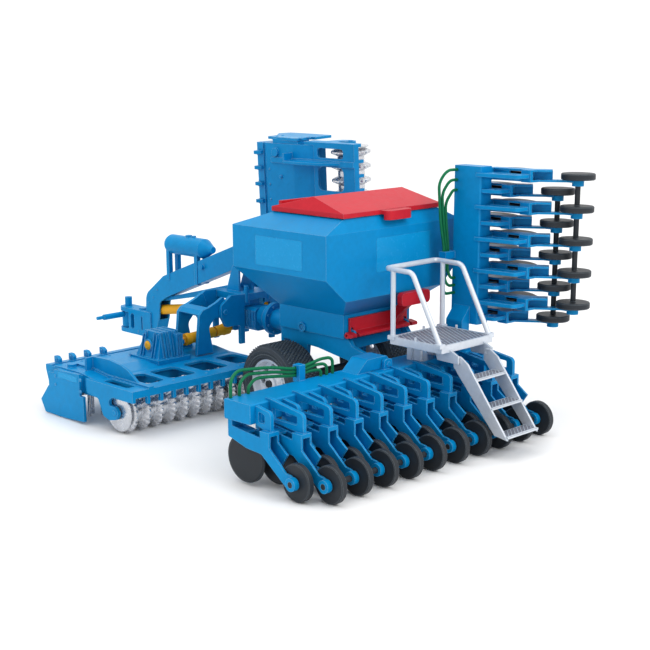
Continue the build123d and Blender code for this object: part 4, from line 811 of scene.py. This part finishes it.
class DRILL_OT_tyres(bpy.types.Operator):
    """Tyres with rings on the walls and rows of small blocks"""
    bl_idname = "drill.tyres"
    bl_label = "Tyres"

    def execute(self, context):
        settings = context.scene.seed_drill
        depth = settings.tread_depth / MM
        base = TYRE_RADIUS - depth
        inner, outer = TYRE_INNER, TYRE_OUTER
        wall = [(inner + 3, TYRE_BEAD), (inner + 0.8, TYRE_BEAD + 2), (inner + 0.5, 24.0),
                (inner + 1.0, 24.4), (inner + 0.9, 25.6), (inner + 0.3, 26.0),
                (inner, TYRE_RADIUS - 5), (inner + 1.2, TYRE_RADIUS - 2.4),
                (inner + 2.8, base - 0.5), (inner + 5.2, base)]
        profile = wall + [(inner + outer - x, r) for x, r in reversed(wall)] + [wall[0]]
        tree = block_ring_tree(bpy.data.materials["tread_rubber"])
        for side, place in SIDES.items():
            bm = placed(lambda made: spin_faces(made, profile, WHEEL_AXIS, 96), place)
            bmesh.ops.remove_doubles(bm, verts=bm.verts, dist=WELD)
            axis_y, axis_z = WHEEL_AXIS
            centre = place @ Vector(((inner + outer) / 2 * MM, axis_y * MM, axis_z * MM))
            values = {"Around": BLOCKS_AROUND, "Rows": settings.tread_rows,
                      "Radius": (base - BLOCK_SINK) * MM,
                      "Row Pitch": (outer - inner - TREAD_MARGIN) * MM / (settings.tread_rows - 1),
                      "Block": BLOCK_RADIUS * MM, "Height": (depth + BLOCK_RISE) * MM,
                      "Centre": tuple(centre), "Seed": TREAD_SEED}
            bm = through_nodes("tyre_tread_" + side, bm, tree, values)
            piece = finish_piece("tyre_tread_" + side, bm, "tread_rubber", "wheel_" + side)
            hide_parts("tyre_" + side)
        return {"FINISHED"}


class DRILL_OT_rollers(bpy.types.Operator):
    """Packer rollers with toothed rings"""
    bl_idname = "drill.rollers"
    bl_label = "Packer rollers"

    def execute(self, context):
        teeth = context.scene.seed_drill.ring_teeth
        for side, place in HARROW.items():
            bm = placed(lambda made: roller_faces(made, teeth), place)
            piece = finish_piece("packer_rings_" + side, bm, "silver_moulding",
                                 "packer_roller_" + side, crease=RING_CREASE)
            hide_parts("packer_roller_" + side)
        return {"FINISHED"}


class DRILL_OT_grating(bpy.types.Operator):
    """Slanting ribs on the platform and the treads, with the platform's pegs and rail sockets, over dark
    sheets of painted shade
    """
    bl_idname = "drill.grating"
    bl_label = "Grating"

    def execute(self, context):
        pitch = context.scene.seed_drill.rib_pitch / MM
        for name, build, finish, body in (
                ("platform_ribs", lambda bm: deck_faces(bm, pitch), "grey_moulding", "chassis"),
                ("ladder_ribs", lambda bm: tread_faces(bm, pitch), "grey_moulding", "ladder"),
                ("platform_floor", deck_rib_shade, "grey_floor", "chassis"),
                ("ladder_floor", tread_rib_shade, "grey_floor", "ladder")):
            finish_piece(name, placed(build, SHIFT), finish, body)
        return {"FINISHED"}


class DRILL_OT_fittings(bpy.types.Operator):
    """Caps, fins, lugs, bolts, pin heads, blank labels and the hopper's side bosses"""
    bl_idname = "drill.fittings"
    bl_label = "Fittings"

    def execute(self, context):
        for side, place in HARROW.items():
            for row in HARROW_FITTINGS:
                fit(place, side, *row)
        for side, place in SIDES.items():
            for row in SIDE_FITTINGS:
                fit(place, side, *row)
        fit(SHIFT, "", *REAR_LABEL)
        for side, place in COULTER.items():
            for row in COULTER_FITTINGS:
                fit(place, side, *row)
        fit(SHIFT, "", *CHASSIS_BOLTS)
        return {"FINISHED"}


# Stage

FLOOR_HALF, FLOOR_TONES, FLOOR_SCALE, FLOOR_ROUGHNESS = 40.0, (0.86, 0.90), 2.0, 0.6
WORLD_STRENGTH = 0.98
# name, place, size, power, aim
LAMPS = (("key", (0.2, -1.5, 1.3), 0.7, 7.0, (0, 0, 0.08)),
         ("top", (-0.3, 0.2, 2.0), 1.2, 5.0, (0, 0, 0)))
CAMERA_PLACE = (-739.3, -579.7, 289.9)
CAMERA_AZIMUTH, CAMERA_RISE, CAMERA_ROLL = -44.31, 11.79, -0.34
SENSOR, LENS = 36.0, 72.06
CLIP = (0.05, 50.0)


def make_floor(scene):
    """Plain pale floor."""
    material = bpy.data.materials.new("pale_floor")
    material.use_nodes = True
    nodes, links = material.node_tree.nodes, material.node_tree.links
    shader = nodes["Principled BSDF"]
    where = nodes.new("ShaderNodeTexCoord")
    cloud = nodes.new("ShaderNodeTexNoise")
    cloud.inputs["Scale"].default_value = FLOOR_SCALE
    tones = nodes.new("ShaderNodeMapRange")
    tones.inputs["To Min"].default_value, tones.inputs["To Max"].default_value = FLOOR_TONES
    links.new(where.outputs["Object"], cloud.inputs["Vector"])
    links.new(cloud.outputs["Fac"], tones.inputs["Value"])
    links.new(tones.outputs["Result"], shader.inputs["Base Color"])
    shader.inputs["Roughness"].default_value = FLOOR_ROUGHNESS
    bm = bmesh.new()
    bmesh.ops.create_grid(bm, x_segments=1, y_segments=1, size=FLOOR_HALF)
    mesh = bpy.data.meshes.new("floor")
    bm.to_mesh(mesh)
    bm.free()
    mesh.materials.append(material)
    floor = bpy.data.objects.new("floor", mesh)
    scene.collection.objects.link(floor)
    return floor


def make_lamp(scene, name, place, size, power, aim):
    """Area light turned towards a point."""
    data = bpy.data.lights.new(name, "AREA")
    data.size = size
    data.energy = power
    lamp = bpy.data.objects.new(name, data)
    lamp.location = place
    lamp.rotation_mode = "QUATERNION"
    lamp.rotation_quaternion = (Vector(aim) - Vector(place)).to_track_quat("-Z", "Y")
    scene.collection.objects.link(lamp)
    return lamp


def make_camera(scene):
    """Camera at the photograph's place and angle."""
    azimuth, rise, roll = (math.radians(v) for v in (CAMERA_AZIMUTH, CAMERA_RISE, CAMERA_ROLL))
    back = Vector((math.sin(azimuth) * math.cos(rise), -math.cos(azimuth) * math.cos(rise),
                   math.sin(rise)))
    right = (-back).cross(Vector(ALONG_Z)).normalized()
    up = right.cross(-back).normalized()
    tilted_right = right * math.cos(roll) + up * math.sin(roll)
    tilted_up = up * math.cos(roll) - right * math.sin(roll)
    data = bpy.data.cameras.new("camera")
    data.sensor_width = SENSOR
    data.lens = LENS
    data.clip_start, data.clip_end = CLIP
    camera = bpy.data.objects.new("camera", data)
    eye = SHIFT @ (Vector(CAMERA_PLACE) * MM)
    turn = Matrix((tilted_right, tilted_up, back)).transposed().to_4x4()
    camera.matrix_world = Matrix.Translation(eye) @ turn
    scene.collection.objects.link(camera)
    scene.camera = camera
    return camera


class DRILL_OT_stage(bpy.types.Operator):
    """Pale floor, soft studio light and the camera at the photograph's angle"""
    bl_idname = "drill.stage"
    bl_label = "Stage"

    def execute(self, context):
        scene = context.scene
        made = [make_floor(scene)]
        world = bpy.data.worlds.new("studio")
        world.use_nodes = True
        sky = world.node_tree.nodes["Background"]
        sky.inputs["Color"].default_value = (1.0, 1.0, 1.0, 1)
        sky.inputs["Strength"].default_value = WORLD_STRENGTH
        scene.world = world
        scene.view_settings.view_transform = "Standard"
        scene.view_settings.look = "Medium High Contrast"
        made += [make_lamp(scene, *row) for row in LAMPS]
        made.append(make_camera(scene))
        return {"FINISHED"}


class DRILL_PT_panel(bpy.types.Panel):
    """Sidebar with every step of the model"""
    bl_idname = "DRILL_PT_panel"
    bl_label = "Seed drill"
    bl_space_type = "VIEW_3D"
    bl_region_type = "UI"
    bl_category = "Seed drill"

    def draw(self, context):
        for operator in OPERATORS:
            self.layout.operator(operator.bl_idname)
        for name in SeedDrillSettings.__annotations__:
            self.layout.prop(context.scene.seed_drill, name)


OPERATORS = (DRILL_OT_finishes, DRILL_OT_tyres, DRILL_OT_rollers, DRILL_OT_grating,
             DRILL_OT_fittings, DRILL_OT_stage)
CLASSES = (SeedDrillSettings,) + OPERATORS + (DRILL_PT_panel,)


def register():
    for made in CLASSES:
        bpy.utils.register_class(made)
    bpy.types.Scene.seed_drill = bpy.props.PointerProperty(type=SeedDrillSettings)


def unregister():
    del bpy.types.Scene.seed_drill
    for made in reversed(CLASSES):
        bpy.utils.unregister_class(made)


def main():
    register()
    bpy.ops.drill.finishes()
    bpy.ops.drill.tyres()
    bpy.ops.drill.rollers()
    bpy.ops.drill.grating()
    bpy.ops.drill.fittings()
    bpy.ops.drill.stage()


if __name__ == "__main__":
    main()
